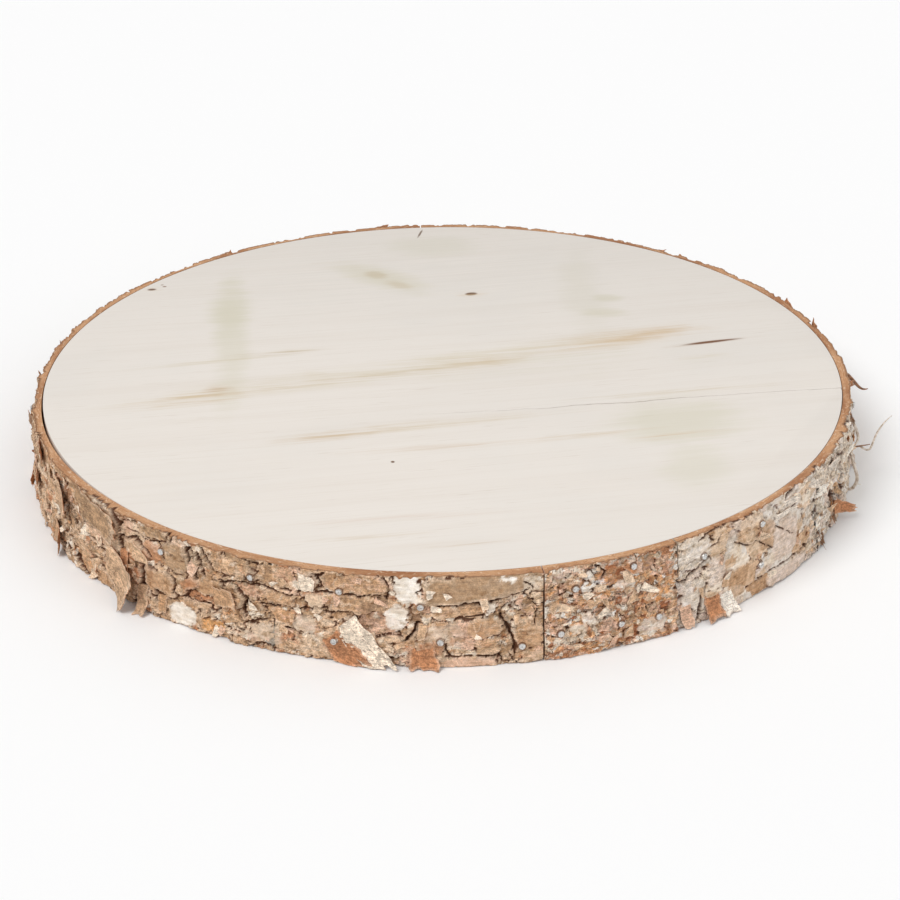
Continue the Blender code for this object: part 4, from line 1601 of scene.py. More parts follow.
    def dress(self, mesh: bpy.types.Mesh) -> None:
        """Gives the outer face the bark and the sawn faces the cut bark.

        Args:
            mesh: the strip's mesh, still all of four-sided faces.
        """
        mesh.materials.append(self.bark)
        mesh.materials.append(self.cut)
        wrap = mesh.uv_layers["wrap"].data
        uv = np.zeros(len(wrap) * 2, np.float32)
        wrap.foreach_get("uv", uv)
        highest = uv.reshape(-1, 4, 2)[:, :, 1].max(axis=1)
        sawn = (highest > (SLICE_HEIGHT + 0.05) * MM).astype(np.int32)
        mesh.polygons.foreach_set("material_index", sawn)

    def close(self, piece: Piece) -> None:
        """Joins the section's ends and fills the strip's two ends.

        Args:
            piece: the strip.
        """
        make_active(piece)
        bpy.ops.object.mode_set(mode="EDIT")
        bpy.ops.mesh.select_all(action="SELECT")
        bpy.ops.mesh.remove_doubles(threshold=0.00001)
        bpy.ops.mesh.fill_holes(sides=0)
        bpy.ops.object.mode_set(mode="OBJECT")
        face_out(piece)


# Loose flakes --------------------------------------------------------------------------------------------


@dataclass(frozen=True)
class Flake:
    """A loose flake of bark, rooted in the strip and curling out from it.

    Attributes:
        angle: its root's angle.
        height: its root's height.
        heading: where it points: 0 along the edge to larger angles, 90 up, -90 down.
        length: its length along its own sheet.
        root: its width at the root.
        tip: its width at the tip.
        bend: how far it has turned away from the edge at its tip, in degrees.
        outer: its weathered face's tone.
        inner: its back's tone.
        cup: how far its sides stand up, in millimetres.
        thick: its thickness.
        skew: how far the tip's upper corner runs ahead of its lower one, in millimetres.
        rise: how far the root already stands above the bark's mean face.
    """

    angle: float
    height: float
    heading: float
    length: float
    root: float
    tip: float
    bend: float
    outer: Tone = Tone.TAN
    inner: Tone = Tone.PINK
    cup: float = 0.0
    thick: float = 0.7
    skew: float = 0.0
    rise: float = 0.6

    @property
    def broad(self) -> bool:
        """Whether it is long enough to have scales and seams of its own."""
        return self.length > 16.5


LARGE_FLAKES = {
    "bark_strip_left": (
        Flake(-138.6, 15.6, -14, 28, 17, 19.5, 44, Tone.TAN, Tone.RUST, 1.2, 0.9, 6, 0.9),
        Flake(-131.2, 11.6, -78, 14, 8, 6, 58, Tone.TAN, Tone.PINK, 0.8, 0.8, -1, 0.6),
        Flake(-134.4, 25, -76, 10, 6, 4, 30, Tone.RUST, Tone.ORANGE, 0.8, 0.6, 1, 0.9),
        Flake(-144.8, 34.8, 0, 34, 14, 13, 15, Tone.GREY_BROWN, Tone.RUST, 0.3, 0.9, 2, 0.9),
        Flake(-133, 27.4, -8, 13, 8.5, 2.5, 22, Tone.TAN, Tone.RUST, 0, 0.7, 0, 0.8),
        Flake(-102.2, 18.5, -47, 25, 12, 11, 20, Tone.CREAM, Tone.PINK, 0.3, 0.7, 3, 1.2),
        Flake(-104.4, 13.8, -48, 21, 10, 12, 16, Tone.RUST, Tone.RUST, 0.3, 0.7, 1, 0.7),
        Flake(-92.8, 10, -84, 11, 10, 12, 34, Tone.RUST, Tone.RED_BROWN, 1.8, 0.8, 3, 0.6),
        Flake(-92.6, 20, -100, 7, 4, 3, 24, Tone.TAN, Tone.RUST, 0.5, 0.5),
        Flake(-91.8, 27.4, 0, 5, 3.4, 2, 34, Tone.CREAM, Tone.PINK, 0.3, 0.4),
        Flake(-119.6, 20, 8, 12, 9, 8, 22, Tone.TAUPE, Tone.RUST, 0.8, 0.7, 0, 0.9),
        Flake(-110.4, 32.5, 40, 5, 5, 3, 26, Tone.TAN, Tone.RUST, 0, 0.5),
        Flake(-108, 35.2, 4, 8, 8, 7, 22, Tone.CREAM, Tone.RUST, 0.4, 0.5),
        Flake(-98.4, 30.5, -20, 6, 3, 1, 26, Tone.PINK, Tone.RUST, 0, 0.4),
        Flake(-127.6, 11, -80, 8, 6, 4, 26, Tone.TAUPE, Tone.RUST, 0.4, 0.6),
        Flake(-152, 30, -10, 18, 14, 10, 26, Tone.TAN, Tone.RUST, 0.6, 0.8, 2),
        Flake(-153, 10, -24, 16, 12, 8, 34, Tone.TAUPE, Tone.RUST, 0.6, 0.8, -2),
        Flake(-160, 36, 6, 12, 10, 6, 16, Tone.BROWN, Tone.RUST, 0.4, 0.8),
        Flake(-163, 22, -12, 13, 11, 7, 24, Tone.BROWN, Tone.PINK, 0.6, 0.8),
        Flake(-169, 33, 172, 10, 9, 6, 20, Tone.BROWN, Tone.RUST, 0.6, 0.8),
        Flake(-170, 12, -30, 12, 11, 7, 24, Tone.BROWN, Tone.RUST, 0.6, 0.8),
        Flake(-176.5, 24, -70, 11, 9, 5, 20, Tone.BROWN, Tone.RUST, 0.6, 0.8),
        Flake(-181, 36, 168, 7, 8, 5, 22, Tone.BROWN, Tone.RUST, 0.8, 0.9),
        Flake(-183, 17, -60, 12, 11, 7, 24, Tone.TAUPE, Tone.RUST, 0.6, 0.8),
        Flake(-191, 35.5, 172, 9, 9, 6, 26, Tone.BROWN, Tone.RUST, 0.5, 0.9),
        Flake(-231, 36, 172, 12, 11, 7, 30, Tone.GREY_BROWN, Tone.RUST, 0.5, 0.8),
        Flake(-245, 35, 4, 12, 9, 7, 26, Tone.GREY_BROWN, Tone.RUST, 0.5, 0.8),
        Flake(-258, 37, 170, 12, 8, 6, 24, Tone.TAUPE, Tone.RUST, 0.5, 0.8),
        Flake(-208, 20, -50, 15, 13, 8, 32, Tone.TAN, Tone.RUST, 0.5, 0.8),
        Flake(-224, 12, -86, 10, 12, 9, 34, Tone.TAUPE, Tone.PINK, 0.8, 0.8),
        Flake(-240, 18, 10, 16, 12, 8, 28, Tone.SAND, Tone.PINK, 0.5, 0.8),
    ),
    "bark_filler_strip": (
        Flake(-73, 23, 30, 7, 5, 2, 20, Tone.TAN, Tone.ORANGE, 0.2, 0.5, 0, 1),
        Flake(-70, 20, 200, 6, 4, 2, 26, Tone.CREAM, Tone.ORANGE, 0.2, 0.4, 0, 1),
        Flake(-65.5, 27, -30, 7, 4, 2, 24, Tone.CREAM, Tone.ORANGE, 0.2, 0.4, 0, 1),
        Flake(-67.6, 38.6, -50, 5, 4, 2, 26, Tone.RUST, Tone.RED_BROWN, 0.2, 0.5, 0, 0.9),
        Flake(-76.4, 24.6, -10, 6, 4, 2, 22, Tone.SAND, Tone.ORANGE, 0.2, 0.4, 0, 1),
    ),
    "bark_strip_right": (
        Flake(-55.2, 11.8, -86, 12, 8, 8.5, 46, Tone.RUST, Tone.RED_BROWN, 0.9, 1, 0, 1),
        Flake(-52.7, 9.4, -82, 10, 7, 8, 48, Tone.WHITE, Tone.PINK, 0.7, 0.8, 1, 0.8),
        Flake(-59.2, 11.5, -84, 11, 6, 5, 26, Tone.PINK, Tone.RUST, 0.3, 0.6, -2, 0.5),
        Flake(-25.2, 10.4, -24, 14, 9, 2.6, 70, Tone.RUST, Tone.RED_BROWN, 1.6, 0.9, 0, 0.6),
        Flake(-26.8, 17.5, -88, 12, 3.4, 2, 20, Tone.UMBER, Tone.RUST, 0.8, 0.6, 0, 0.4),
        # Painted shade on this flake's back.
        Flake(-30.8, 5, -86, 5, 6, 3, 30, Tone.UMBER, Tone.SOOT, 0.3, 0.5),
        Flake(-43.2, 32.6, 8, 12, 3.4, 2, 24, Tone.SILVER, Tone.TAN, 0, 0.4),
        Flake(-41.6, 36.6, 8, 9, 4.2, 3, 30, Tone.SILVER, Tone.TAN, 0.2, 0.4),
        Flake(-46.8, 29, -16, 7, 4.4, 2, 20, Tone.SAND, Tone.TAN, 0, 0.4),
        Flake(-34.6, 38, -30, 8, 5, 3, 26, Tone.SILVER, Tone.TAN, 0.2, 0.5),
        Flake(-32.6, 30, -10, 8, 6, 4, 28, Tone.WHITE, Tone.TAN, 0.2, 0.4),
        Flake(-28, 34, 20, 8, 5, 3, 30, Tone.SILVER, Tone.TAN, 0.2, 0.5),
        Flake(-25.8, 21.6, -50, 7, 5, 2, 34, Tone.GREY_BROWN, Tone.RED_BROWN, 0.4, 0.5),
        Flake(-19, 26, 10, 9, 5, 3, 34, Tone.WHITE, Tone.CREAM, 0.4, 0.3),
        Flake(-14.5, 20, 14, 6, 5, 3, 50, Tone.SAND, Tone.CREAM, 0.4, 0.4),
        Flake(-11, 33.5, -60, 6, 4, 2, 40, Tone.UMBER, Tone.RUST, 0.3, 0.4),
        Flake(-10, 27, -60, 6, 4, 2, 46, Tone.TAUPE, Tone.RUST, 0.3, 0.4),
        Flake(-4, 38.6, -20, 7, 3.6, 2.4, 50, Tone.RUST, Tone.RED_BROWN, 0.9, 0.6),
        Flake(-9, 9, -40, 12, 9, 5, 34, Tone.PINK_GREY, Tone.RUST, 0.4, 0.6),
        Flake(14, 36.4, 4, 12, 10, 8, 26, Tone.GREY_BROWN, Tone.RUST, 0.5, 0.8),
        Flake(22, 37, 8, 12, 9, 7, 28, Tone.TAUPE, Tone.RUST, 0.5, 0.8),
        Flake(38, 36, 4, 11, 9, 7, 26, Tone.TAUPE, Tone.RUST, 0.5, 0.8),
        Flake(46, 36.4, 4, 10, 9, 7, 26, Tone.GREY_BROWN, Tone.RUST, 0.5, 0.8),
        Flake(54, 36.4, 172, 10, 9, 7, 26, Tone.TAUPE, Tone.RUST, 0.5, 0.8),
        Flake(30, 16, -60, 14, 11, 8, 30, Tone.SAND, Tone.PINK, 0.5, 0.8),
        Flake(66, 22, -20, 15, 12, 8, 26, Tone.SILVER, Tone.TAN, 0.5, 0.7),
        Flake(80, 10, -80, 11, 12, 9, 36, Tone.PINK_GREY, Tone.RUST, 0.7, 0.8),
    ),
}


@dataclass
class LooseBark:
    """All the loose flakes of one strip: those in known places and many small ones.

    Attributes:
        node: the strip's CAD node.
        start: the strip's first angle.
        end: the strip's last angle.
        bark: the material.
        small: how many small flakes there are.
        seed: picks their places.
        proud: how far the strip stands above its neighbours.
        grain: how large the bark's plates are.
    """

    node: str
    start: float
    end: float
    bark: Finish
    small: int
    seed: int
    proud: float = 0.0
    grain: float = 1.0

    def build(self) -> Piece:
        """Models the flakes and joins them into one piece.

        Returns:
            The piece.
        """
        coarse, fine = self.sheet(16, 9), self.sheet(34, 22)
        pieces = []
        for n, flake in enumerate(LARGE_FLAKES[self.node]):
            pieces.append(self.curl(fine if flake.broad else coarse, flake, 7 * n))
        pattern = self.sheet(4, 3)
        pieces += [self.curl(pattern, flake, 100 + 7 * n) for n, flake in enumerate(self.scatter())]
        piece = self.join(pieces)
        piece.data.materials.append(self.bark)
        smooth(piece, 50.0)
        settle(piece, "birch_bark")
        return piece

    def sheet(self, along: int, across: int) -> tuple[Array, list[tuple[int, ...]]]:
        """Models a flat closed sheet once, as the pattern of a flake.

        Args:
            along: faces along it.
            across: faces across it.

        Returns:
            Its vertices, as shares of the length, width and thickness, and its faces.
        """
        deselect()
        bpy.ops.mesh.primitive_grid_add(x_subdivisions=along, y_subdivisions=across, size=1.0)
        piece = new_name("flake_pattern")
        wall = piece.modifiers.new("Wall", "SOLIDIFY")
        wall.thickness = 1.0
        wall.offset = -1.0
        apply_modifiers(piece)
        share = np.array([v.co for v in piece.data.vertices])
        faces = [tuple(p.vertices) for p in piece.data.polygons]
        bpy.data.objects.remove(piece)
        share[:, 0] += 0.5
        share[:, 2] = (share[:, 2] < -0.5).astype(float)
        return share, faces

    def scatter(self) -> list[Flake]:
        """Small flakes over the whole strip, thicker where the bark is rough.

        Returns:
            The flakes.
        """
        rng = np.random.default_rng(self.seed)
        angle = rng.uniform(self.start + 1.5, self.end - 1.5, self.small)
        height = rng.uniform(3.0, SLICE_HEIGHT - 3.0, self.small)
        ground = BarkSurface(angle, height, self.grain)
        flakes = []
        for n in range(self.small):
            if rng.uniform() > 0.35 + 0.65 * ground.crumble[n] or ground.paper[n] > 0.6:
                continue
            length = rng.uniform(1.8, 6.0)
            tone = (Tone.TAN, Tone.TAUPE, Tone.SAND, Tone.CREAM, Tone.PINK)[rng.integers(5)]
            heading = rng.choice([0.0, 180.0, -90.0]) + rng.normal(0.0, 28.0)
            bend = rng.uniform(12.0, 55.0)
            root = length * rng.uniform(0.5, 1.1)
            tip = root * rng.uniform(0.2, 0.8)
            inner = (Tone.RUST, Tone.PINK, Tone.ORANGE)[rng.integers(3)]
            thick = rng.uniform(0.25, 0.5)
            skew = rng.uniform(-0.3, 0.3) * length
            rise = float(ground.relief[n]) + 0.12
            place = (angle[n], height[n], heading)
            flakes.append(Flake(*place, length, root, tip, bend, tone, inner, 0.1, thick, skew, rise))
        return flakes

    def curl(self, pattern: tuple[Array, list], flake: Flake, seed: int) -> tuple:
        """Bends a copy of a pattern into a flake.

        Args:
            pattern: the flat sheet's vertices and faces.
            flake: what it becomes.
            seed: picks its torn outline.

        Returns:
            Its (angle, radius, height, clearance above the bark) at each vertex, faces, colours, painted
            shade and crumble.
        """
        share, faces = pattern
        u, v, back = share.T
        middle = np.full_like(v, 0.5)
        torn = 0.12 * wave(v * 5.0 + seed, middle, 91) + 0.07 * wave(v * 13.0 + seed, middle, 92)
        u_torn = u * (1.0 + torn * ramp(u, 0.3, 1.0))
        side = np.sign(v)
        ragged = 1.0 + 0.16 * wave(u * 5.0 + seed, side, 93) + 0.08 * wave(u * 12.0 + seed, side, 94)
        width = mix(flake.root, flake.tip, u) * ragged
        rooted = 0.12
        turn = math.radians(flake.bend) * np.clip((u_torn - rooted) / (1.0 - rooted), 0.0, None)
        total = math.radians(max(flake.bend, 1.0)) / (1.0 - rooted)
        flat = np.minimum(u_torn, rooted) + np.sin(turn) / total
        out = flake.length * (1.0 - np.cos(turn)) / total
        forward = flake.length * flat + flake.skew * v * u
        across = width * v
        head = math.radians(flake.heading)
        around = forward * math.cos(head) - across * math.sin(head)
        up = forward * math.sin(head) + across * math.cos(head)
        thin = flake.thick * (1.0 - 0.55 * u) * (1.0 - 0.5 * (2.0 * np.abs(v)) ** 4)
        angle = flake.angle + np.degrees(around / BARK_INNER)
        height = flake.height + up + back * thin * np.sin(turn) * math.sin(head)
        height = np.minimum(ease_up(height), SLICE_HEIGHT - 0.1)
        face = mean_face(np.array(flake.angle), np.array(flake.height)) + self.proud + flake.rise
        ripple = 0.25 * wave(u * 4.0 + seed, v * 3.0, 95) * ramp(u, 0.0, 0.5) * (flake.length > 7.0)
        cup = flake.cup * (2.0 * v) ** 2 * ramp(u, 0.1, 0.8)
        sink = 0.9 * (1.0 - ramp(u, 0.0, 0.16))
        radius = face + out + cup + ripple - sink - back * thin * np.cos(turn)
        angle = angle + np.degrees(back * thin * np.sin(turn) * math.cos(head) / BARK_INNER)
        clear = np.where(u > 0.14, 0.12 + thin * (1.0 - back), -9.0)
        colour, shade_and_wear = self.tint(flake, share, forward, across, seed)
        return np.stack([angle, radius, height, clear], axis=-1), faces, colour, shade_and_wear

    def tint(
        self, flake: Flake, share: Array, forward: Array, across: Array, seed: int
    ) -> tuple[Array, Array]:
        """Colours a flake.

        Args:
            flake: the flake.
            share: its vertices, as shares of the length, width and thickness.
            forward: how far along it they are, in millimetres.
            across: how far across it they are.
            seed: picks its scales.

        Returns:
            The colour, and the painted shade with crumble and paperiness, at each vertex.
        """
        u, v, back = share.T
        outer, inner = np.array(flake.outer.rgb), np.array(flake.inner.rgb)
        scales = break_up(forward / 4.6 + seed, across / 3.0, 97)
        speckle = 1.0 + 0.12 * wave(u * flake.length / 2.2 + seed, v * flake.root / 1.6, 96)
        # Painted shade: the back darkens towards the root, both faces darken at the root, and broad flakes
        # get dark seams.
        dirt_and_shade = 0.35 * back * (1.0 - u) + 0.3 * (1.0 - ramp(u, 0.0, 0.1))
        if flake.broad:
            speckle += 0.34 * (scales.chance(98) - 0.5) + 0.2 * wave(forward / 5.0, across / 0.8, 99)
            dirt_and_shade += 0.6 * (scales.chance(100) < 0.5) * ramp(0.16 - scales.edge, 0.0, 0.12) * (1.0 - back)
        rim = ramp(np.maximum(u, np.abs(2.0 * v)), 0.82, 1.0) * 0.3
        colour = mix(outer, inner, back[:, None]) * speckle[:, None]
        colour = mix(colour, np.array(Tone.CREAM.rgb), (rim * (1.0 - back))[:, None])
        return colour, np.stack([dirt_and_shade, np.full_like(u, 0.5), np.full_like(u, 0.1)], axis=-1)

    def join(self, pieces: list[tuple]) -> Piece:
        """Joins the copies into one mesh with its map and attributes.

        Args:
            pieces: what curl returns for each flake.

        Returns:
            The piece.
        """
        offset, faces = 0, []
        for shape, own_faces, *_ in pieces:
            faces += [tuple(index + offset for index in face) for face in own_faces]
            offset += len(shape)
        shape, colour, shade_and_wear = (np.concatenate([p[k] for p in pieces]) for k in (0, 2, 3))
        angle, radius, height, clear = shape.T
        ground = mean_face(angle, height) + self.proud + BarkSurface(angle, height, self.grain).relief
        points = on_edge(angle, np.maximum(radius, ground + clear), height)
        unrolled = np.stack([np.radians(angle) * BARK_INNER, height], axis=-1) * MM
        mesh = bpy.data.meshes.new(self.node + "_flakes")
        mesh.from_pydata(points.tolist(), [], faces)
        corner = np.zeros(len(mesh.loops), np.int32)
        mesh.loops.foreach_get("vertex_index", corner)
        layer = mesh.uv_layers.new(name="wrap")
        layer.data.foreach_set("uv", unrolled[corner].astype(np.float32).ravel())
        paint(mesh, "bark_colour", colour)
        paint(mesh, "bark_shade_and_wear", shade_and_wear)
        piece = bpy.data.objects.new(self.node + "_flakes", mesh)
        bpy.context.scene.collection.objects.link(piece)
        make_active(piece)
        bpy.ops.object.mode_set(mode="EDIT")
        bpy.ops.mesh.select_all(action="SELECT")
        bpy.ops.mesh.normals_make_consistent(inside=False)
        bpy.ops.object.mode_set(mode="OBJECT")
        return piece


@dataclass(frozen=True)
class Fibre:
    """A hair of bast or a thin paper curl.

    Attributes:
        line: the (angle, height, millimetres out) places that it runs along.
        width: its width, in millimetres.
        thick: its thickness.
        brown: whether it is one of the brown ones.
        taper: how late along it it narrows.
    """

    line: tuple[tuple[float, float, float], ...]
    width: float
    thick: float = 0.22
    brown: bool = False
    taper: float = 2.0


@dataclass
class Fibres:
    """The few hairs and thin curls that have come away at the right of the slice.

    Attributes:
        pale: the pale ones' material.
        brown: the brown ones' material.
        fibres: where they run.
    """

    pale: Finish
    brown: Finish
    fibres: tuple[Fibre, ...] = (
        Fibre(
            ((-12.6, 19.2, 0.2), (-12.0, 19.6, 4.6), (-12.0, 20.4, 8.4), (-12.0, 21.0, 9.6)),
            1.5, 1.1, True, 0.2,
        ),
        Fibre(
            (
                (-12.0, 19.6, 4.6), (-12.0, 18.4, 6.6), (-12.0, 17.2, 8.6), (-12.0, 19.2, 10.4),
                (-12.0, 24.7, 11.3), (-12.0, 32.9, 15.2), (-12.0, 37.0, 19.3),
            ),
            1.0, 0.75, taper=8.0,
        ),
        Fibre(
            ((-9.6, 30.5, 0.2), (-9.0, 25.6, 1.9), (-9.0, 20.4, 4.4), (-9.0, 16.0, 4.2), (-9.6, 13.3, 0.3)),
            1.6, 1.1, taper=6.0,
        ),
        Fibre(
            ((-10.6, 28.0, 0.2), (-10.0, 25.0, 2.6), (-10.0, 22.0, 3.2), (-10.6, 20.6, 0.3)),
            0.9, 0.6, taper=6.0,
        ),
        Fibre(
            (
                (-16.4, 27.6, 0.2), (-18.0, 20.5, 3.6), (-18.0, 14.5, 6.0), (-18.0, 9.2, 5.2),
                (-18.0, 5.6, 1.6), (-18.6, 9.4, 0.2),
            ),
            1.9, 1.3, taper=6.0,
        ),
        Fibre(((-18.0, 11.6, 5.0), (-18.0, 9.8, 5.2), (-18.0, 10.4, 7.4)), 0.7, 0.5),
        Fibre(((-32.4, 11.0, 0.2), (-33.0, 8.6, 3.4), (-33.0, 4.4, 4.4), (-33.0, 2.9, 6.2)), 0.45, 0.3, True),
        Fibre(
            ((-2.0, 40.6, 0.1), (-2.0, 38.9, 2.0), (-2.0, 35.0, 4.8), (-2.0, 32.0, 7.8), (-2.0, 33.0, 10.4)),
            1.9, 0.7, True,
        ),
    )

    def build(self) -> Piece:
        """Models the hairs as one piece.

        Returns:
            The piece.
        """
        pieces = [self.strand(fibre) for fibre in self.fibres]
        deselect()
        for piece in pieces:
            piece.select_set(True)
        bpy.context.view_layer.objects.active = pieces[0]
        bpy.ops.object.join()
        piece = new_name("bast_fibres")
        smooth(piece, 60.0)
        settle(piece, "birch_bark")
        return piece

    def strand(self, fibre: Fibre) -> Piece:
        """Models one hair as a thin band that narrows towards its tip.

        Args:
            fibre: the hair.

        Returns:
            The piece.
        """
        curve = bpy.data.curves.new("strand", "CURVE")
        curve.dimensions = "3D"
        curve.bevel_resolution = 1
        curve.bevel_depth = fibre.thick / 2 * MM
        curve.extrude = max(fibre.width - fibre.thick, 0.02) / 2 * MM
        curve.resolution_u = 6
        curve.use_fill_caps = True
        spline = curve.splines.new("NURBS")
        count = len(fibre.line)
        spline.points.add(count - 1)
        spline.use_endpoint_u = True
        spline.order_u = min(4, count)
        for n, (point, (angle, height, out)) in enumerate(zip(spline.points, fibre.line)):
            base = mean_face(np.array(angle), np.array(height))
            point.co = (*on_edge(np.array(angle), base + out, np.array(height)), 1.0)
            share = n / (count - 1)
            point.radius = 1.0 - 0.72 * share**fibre.taper
        strand = bpy.data.objects.new("strand", curve)
        bpy.context.scene.collection.objects.link(strand)
        make_active(strand)
        bpy.ops.object.convert(target="MESH")
        strand = bpy.context.object
        strand.data.materials.clear()
        strand.data.materials.append(self.brown if fibre.brown else self.pale)
        return strand


@dataclass(frozen=True)
class FibreFinish:
    """Thin streaky bast.

    Attributes:
        name: the material's name.
        light: its light colour.
        dark: its dark streaks.
    """

    name: str
    light: Rgb
    dark: Rgb

    def make(self) -> Finish:
        """Builds the material.

        Returns:
            The material.
        """
        n = Nodes(self.name)
        streaks = n.noise(n.place(), 700.0, 3.0, 0.6)
        colour = n.blend(n.span(streaks, 0.4, 0.65), linear(*self.light), linear(*self.dark))
        n.finish(colour, 0.7)
        n.bump(streaks, 0.0002, 0.5)
        return n.material


# Wood ----------------------------------------------------------------------------------------------------


@dataclass
class WoodDisc:
    """The sawn disc, with a hairline crack along its grain and a slightly broken rim.

    Attributes:
        finish: its material.
        segments: how many sides the round has.
        crack: (x, y) places along the crack, in millimetres, with its width at each.
        crack_depth: how deep the crack goes.
        nicks: (angle, size) of chips out of the upper rim.
    """

    finish: Finish
    segments: int = 256
    crack: tuple[tuple[float, float, float], ...] = (
        (-22.6, -49.6, 0.04), (20.0, -45.5, 0.26), (50.0, -43.0, 0.36), (62.0, -40.2, 0.7),
        (88.0, -38.0, 0.8), (112.0, -33.8, 0.7), (130.0, -31.5, 0.4), (160.0, -28.0, 0.36),
        (189.0, -24.8, 0.5), (193.5, -24.4, 1.1),
    )
    crack_depth: float = 4.0
    nicks: tuple[tuple[float, float], ...] = (
        (-7.5, 1.3), (-9.0, 0.7), (-12.0, 0.9), (-15.5, 0.6), (-20.0, 0.8), (-24.0, 0.6), (3.0, 0.7),
        (64.0, 0.6), (131.0, 0.7), (-172.0, 0.7),
    )

    def build(self) -> Piece:
        """Models the disc.

        Returns:
            The piece.
        """
        deselect()
        bpy.ops.mesh.primitive_cylinder_add(
            vertices=self.segments,
            radius=DISC_RADIUS * MM,
            depth=SLICE_HEIGHT * MM,
            location=(0.0, 0.0, SLICE_HEIGHT * MM / 2),
        )
        piece = new_name("sawn_disc")
        bpy.ops.object.transform_apply(location=True, rotation=True, scale=True)
        bpy.ops.object.mode_set(mode="EDIT")
        bpy.ops.mesh.select_all(action="DESELECT")
        shell = bmesh.from_edit_mesh(piece.data)
        for edge in shell.edges:
            flat = abs(edge.verts[0].co.z - edge.verts[1].co.z) < 1e-6
            edge.select_set(flat)
        bmesh.update_edit_mesh(piece.data)
        bpy.ops.mesh.bevel(offset=0.35 * MM, segments=2)
        bpy.ops.object.mode_set(mode="OBJECT")
        for cutter in (self.crack_cutter(), self.nick_cutter()):
            modifier = piece.modifiers.new("Cut", "BOOLEAN")
            modifier.operation = "DIFFERENCE"
            modifier.object = cutter
            modifier.solver = "EXACT"
            apply_modifiers(piece)
            bpy.data.objects.remove(cutter)
        piece.data.materials.clear()
        piece.data.materials.append(self.finish)
        smooth(piece, 30.0)
        settle(piece, "pale_wood", "wood_disc")
        return piece

    def crack_cutter(self) -> Piece:
        """A thin wavy wedge along the crack.

        Returns:
            What is cut out.
        """
        x, y, width = (np.array(c) for c in zip(*self.crack))
        steps = np.linspace(x[0], x[-1], 160)
        wander = 0.35 * wave(steps / 5.0, steps * 0, 5) + 0.15 * wave(steps / 1.6, steps * 0, 6)
        mid = np.interp(steps, x, y) + wander
        half = 0.5 * np.interp(steps, x, width) * (1.0 + 0.35 * wave(steps / 3.0, steps * 0, 7))
        top, low = SLICE_HEIGHT + 0.5, SLICE_HEIGHT - self.crack_depth
        points = []
        for at, centre, side in zip(steps, mid, half):
            points += [(at, centre - side, top), (at, centre + side, top), (at, centre, low)]
        faces = [(0, 1, 2), tuple(range(len(points) - 1, len(points) - 4, -1))]
        for n in range(len(steps) - 1):
            for a, b in ((0, 1), (1, 2), (2, 0)):
                faces.append((3 * n + a, 3 * n + 3 + a, 3 * n + 3 + b, 3 * n + b))
        mesh = bpy.data.meshes.new("crack_cutter")
        mesh.from_pydata((np.array(points) * MM).tolist(), [], faces)
        cutter = bpy.data.objects.new("crack_cutter", mesh)
        bpy.context.scene.collection.objects.link(cutter)
        face_out(cutter)
        return cutter

    def nick_cutter(self) -> Piece:
        """Small rough lumps that chip the upper rim.

        Returns:
            What is cut out.
        """
        deselect()
        chips = []
        for angle, size in self.nicks:
            place = on_edge(np.array(angle), np.array(DISC_RADIUS + 0.2 * size), np.array(SLICE_HEIGHT))
            bpy.ops.mesh.primitive_ico_sphere_add(subdivisions=1, radius=size * MM, location=place)
            chip = bpy.context.object
            chip.scale = (0.7, 1.6, 0.8)
            chip.rotation_euler = (0.2, 0.1, math.radians(angle))
            chips.append(chip)
        deselect()
        for chip in chips:
            chip.select_set(True)
        bpy.context.view_layer.objects.active = chips[0]
        bpy.ops.object.transform_apply(location=True, rotation=True, scale=True)
        bpy.ops.object.join()
        return bpy.context.object


# Studio --------------------------------------------------------------------------------------------------


@dataclass(frozen=True)
class SoftLight:
    """A large, even light from one direction.

    Attributes:
        name: the light's name.
        azimuth: where it comes from, in degrees round +Z from +X.
        elevation: how high it stands, in degrees.
        strength: its strength.
        softness: how wide it looks, in degrees.
    """

    name: str
    azimuth: float
    elevation: float
    strength: float
    softness: float

    def build(self) -> None:
        """Hangs the light."""
        data = bpy.data.lights.new(self.name, "SUN")
        data.energy = self.strength
        data.angle = math.radians(self.softness)
        light = bpy.data.objects.new(self.name, data)
        turn, high = math.radians(self.azimuth), math.radians(self.elevation)
        source = Vector((math.cos(turn) * math.cos(high), math.sin(turn) * math.cos(high), math.sin(high)))
        light.rotation_euler = source.to_track_quat("Z", "Y").to_euler()
        light.location = source
        bpy.context.scene.collection.objects.link(light)


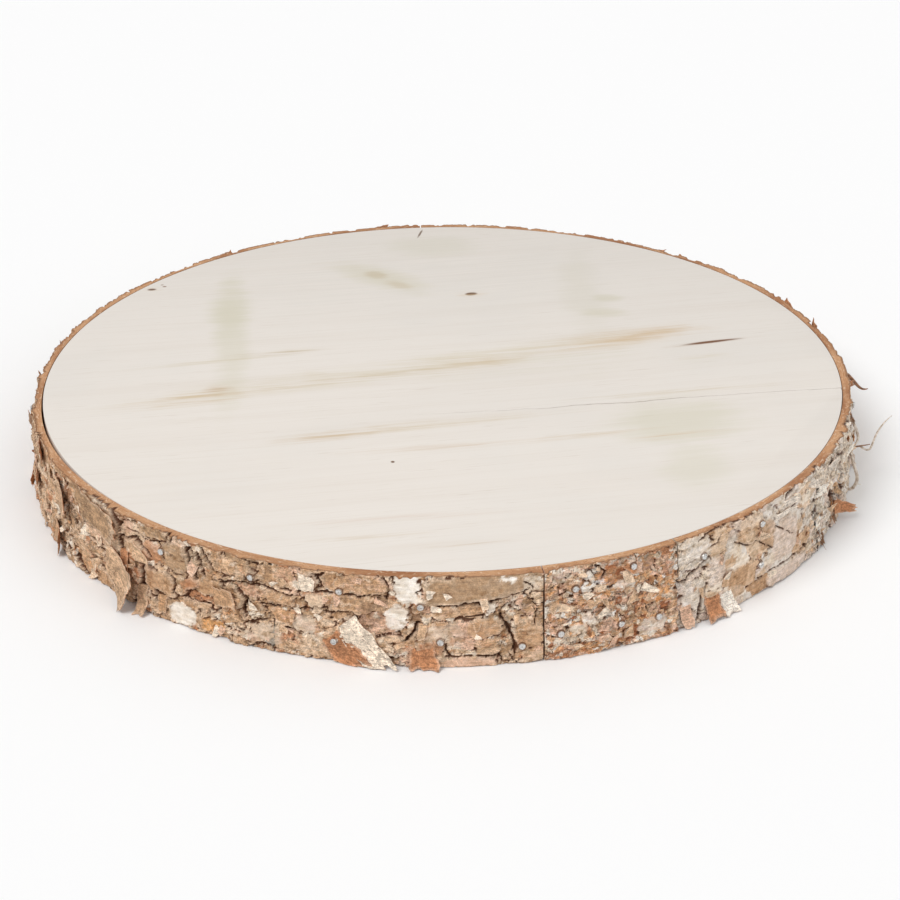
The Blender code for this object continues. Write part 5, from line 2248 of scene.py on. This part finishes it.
@dataclass(frozen=True)
class Studio:
    """A white floor, soft light all round and the camera.

    Attributes:
        lights: the lights.
        world_strength: the sky's strength.
        lens: the camera's focal length, in millimetres.
        distance: how far it stands from the middle of the top, in metres.
        elevation: how high it stands, in degrees.
        pan: how far it turns to the right, in degrees.
        tilt: how far it turns up.
        roll: how far it is turned round its own line of sight.
    """

    lights: tuple[SoftLight, ...] = (
        SoftLight("key_left_above", -140.0, 52.0, 1.65, 32.0),
        SoftLight("fill_right", -40.0, 36.0, 0.55, 50.0),
        SoftLight("back_above", 70.0, 55.0, 0.3, 60.0),
    )
    world_strength: float = 0.46
    lens: float = 84.0
    distance: float = 1.02893
    elevation: float = 25.133
    pan: float = 0.182
    tilt: float = -2.169
    roll: float = -0.577

    def build(self) -> None:
        """Sets up the floor, the lights, the sky and the camera."""
        deselect()
        bpy.ops.mesh.primitive_plane_add(size=16.0, location=(0.0, 0.0, -0.0002))
        floor = new_name("studio_floor")
        floor.data.materials.append(FloorFinish().make())
        for light in self.lights:
            light.build()
        world = bpy.data.worlds.new("studio_sky")
        world.use_nodes = True
        sky = world.node_tree.nodes["Background"]
        sky.inputs["Color"].default_value = (1.0, 1.0, 1.0, 1.0)
        sky.inputs["Strength"].default_value = self.world_strength
        bpy.context.scene.world = world
        view = bpy.context.scene.view_settings
        view.view_transform = "Standard"
        view.look = "None"
        self.stand_camera()

    def stand_camera(self) -> None:
        """Stands the camera in front, looking down on the slice."""
        high = math.radians(self.elevation)
        top = SLICE_HEIGHT * MM
        place = Vector((0.0, -self.distance * math.cos(high), top + self.distance * math.sin(high)))
        ahead = (Vector((0.0, 0.0, top)) - place).normalized()
        right = Vector((1.0, 0.0, 0.0))
        up = right.cross(ahead)
        ahead = ahead + math.tan(math.radians(self.pan)) * right + math.tan(math.radians(self.tilt)) * up
        ahead.normalize()
        side = ahead.cross(Vector((0.0, 0.0, 1.0))).normalized()
        over = side.cross(ahead)
        c, s = math.cos(math.radians(self.roll)), math.sin(math.radians(self.roll))
        side, over = side * c + over * s, over * c - side * s
        data = bpy.data.cameras.new("camera")
        data.lens = self.lens
        data.sensor_width = 36.0
        data.clip_start = 0.01
        camera = bpy.data.objects.new("camera", data)
        turn = Matrix((side, over, -ahead)).transposed().to_4x4()
        camera.matrix_world = Matrix.Translation(place) @ turn
        bpy.context.scene.collection.objects.link(camera)
        bpy.context.scene.camera = camera


def main() -> None:
    """Builds the slice and its studio, one sub-assembly after another."""
    logging.basicConfig(level=logging.INFO, format="%(name)s: %(message)s")
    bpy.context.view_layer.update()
    bark, cut = BarkFinish().make(), CutBarkFinish().make()
    nails = [Nail.of(node) for node in sorted(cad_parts) if node.startswith("nail_")]
    steel = NailFinish().make()
    log.info("read %d nails", len(nails))
    WoodDisc(SawnWoodFinish().make()).build()
    # Each strip's node, first and last angle, how proud it stands, grid pitch, rows, small flakes and grain.
    strips = (
        ("bark_strip_left", BACK_SEAM - 360.0, FRONT_SEAM, 0.0, 0.58, 74, 420, 1.0),
        ("bark_filler_strip", FRONT_SEAM, FILLER_SEAM, 0.6, 0.36, 110, 60, 0.8),
        ("bark_strip_right", FILLER_SEAM, BACK_SEAM, 0.0, 0.54, 78, 260, 1.0),
    )
    for number, (node, start, end, proud, pitch, rows, small, grain) in enumerate(strips):
        own = [n for n in nails if start < n.angle < end or start < n.angle - 360.0 < end]
        own = [n if start < n.angle < end else Nail(n.node, n.angle - 360.0, n.height, n.seat) for n in own]
        BarkStrip(node, start, end, own, bark, cut, proud, pitch, rows, grain).build()
        LooseBark(node, start, end, bark, small, 17 + number, proud, grain).build()
    pale = FibreFinish("bast_pale", (226, 215, 203), (176, 156, 136)).make()
    brown = FibreFinish("bast_brown", (160, 118, 88), (98, 64, 44)).make()
    Fibres(pale, brown).build()
    for nail in nails:
        NailHead(nail, steel).build()
    Studio().build()
    log.info("studio ready")


if __name__ == "__main__":
    main()
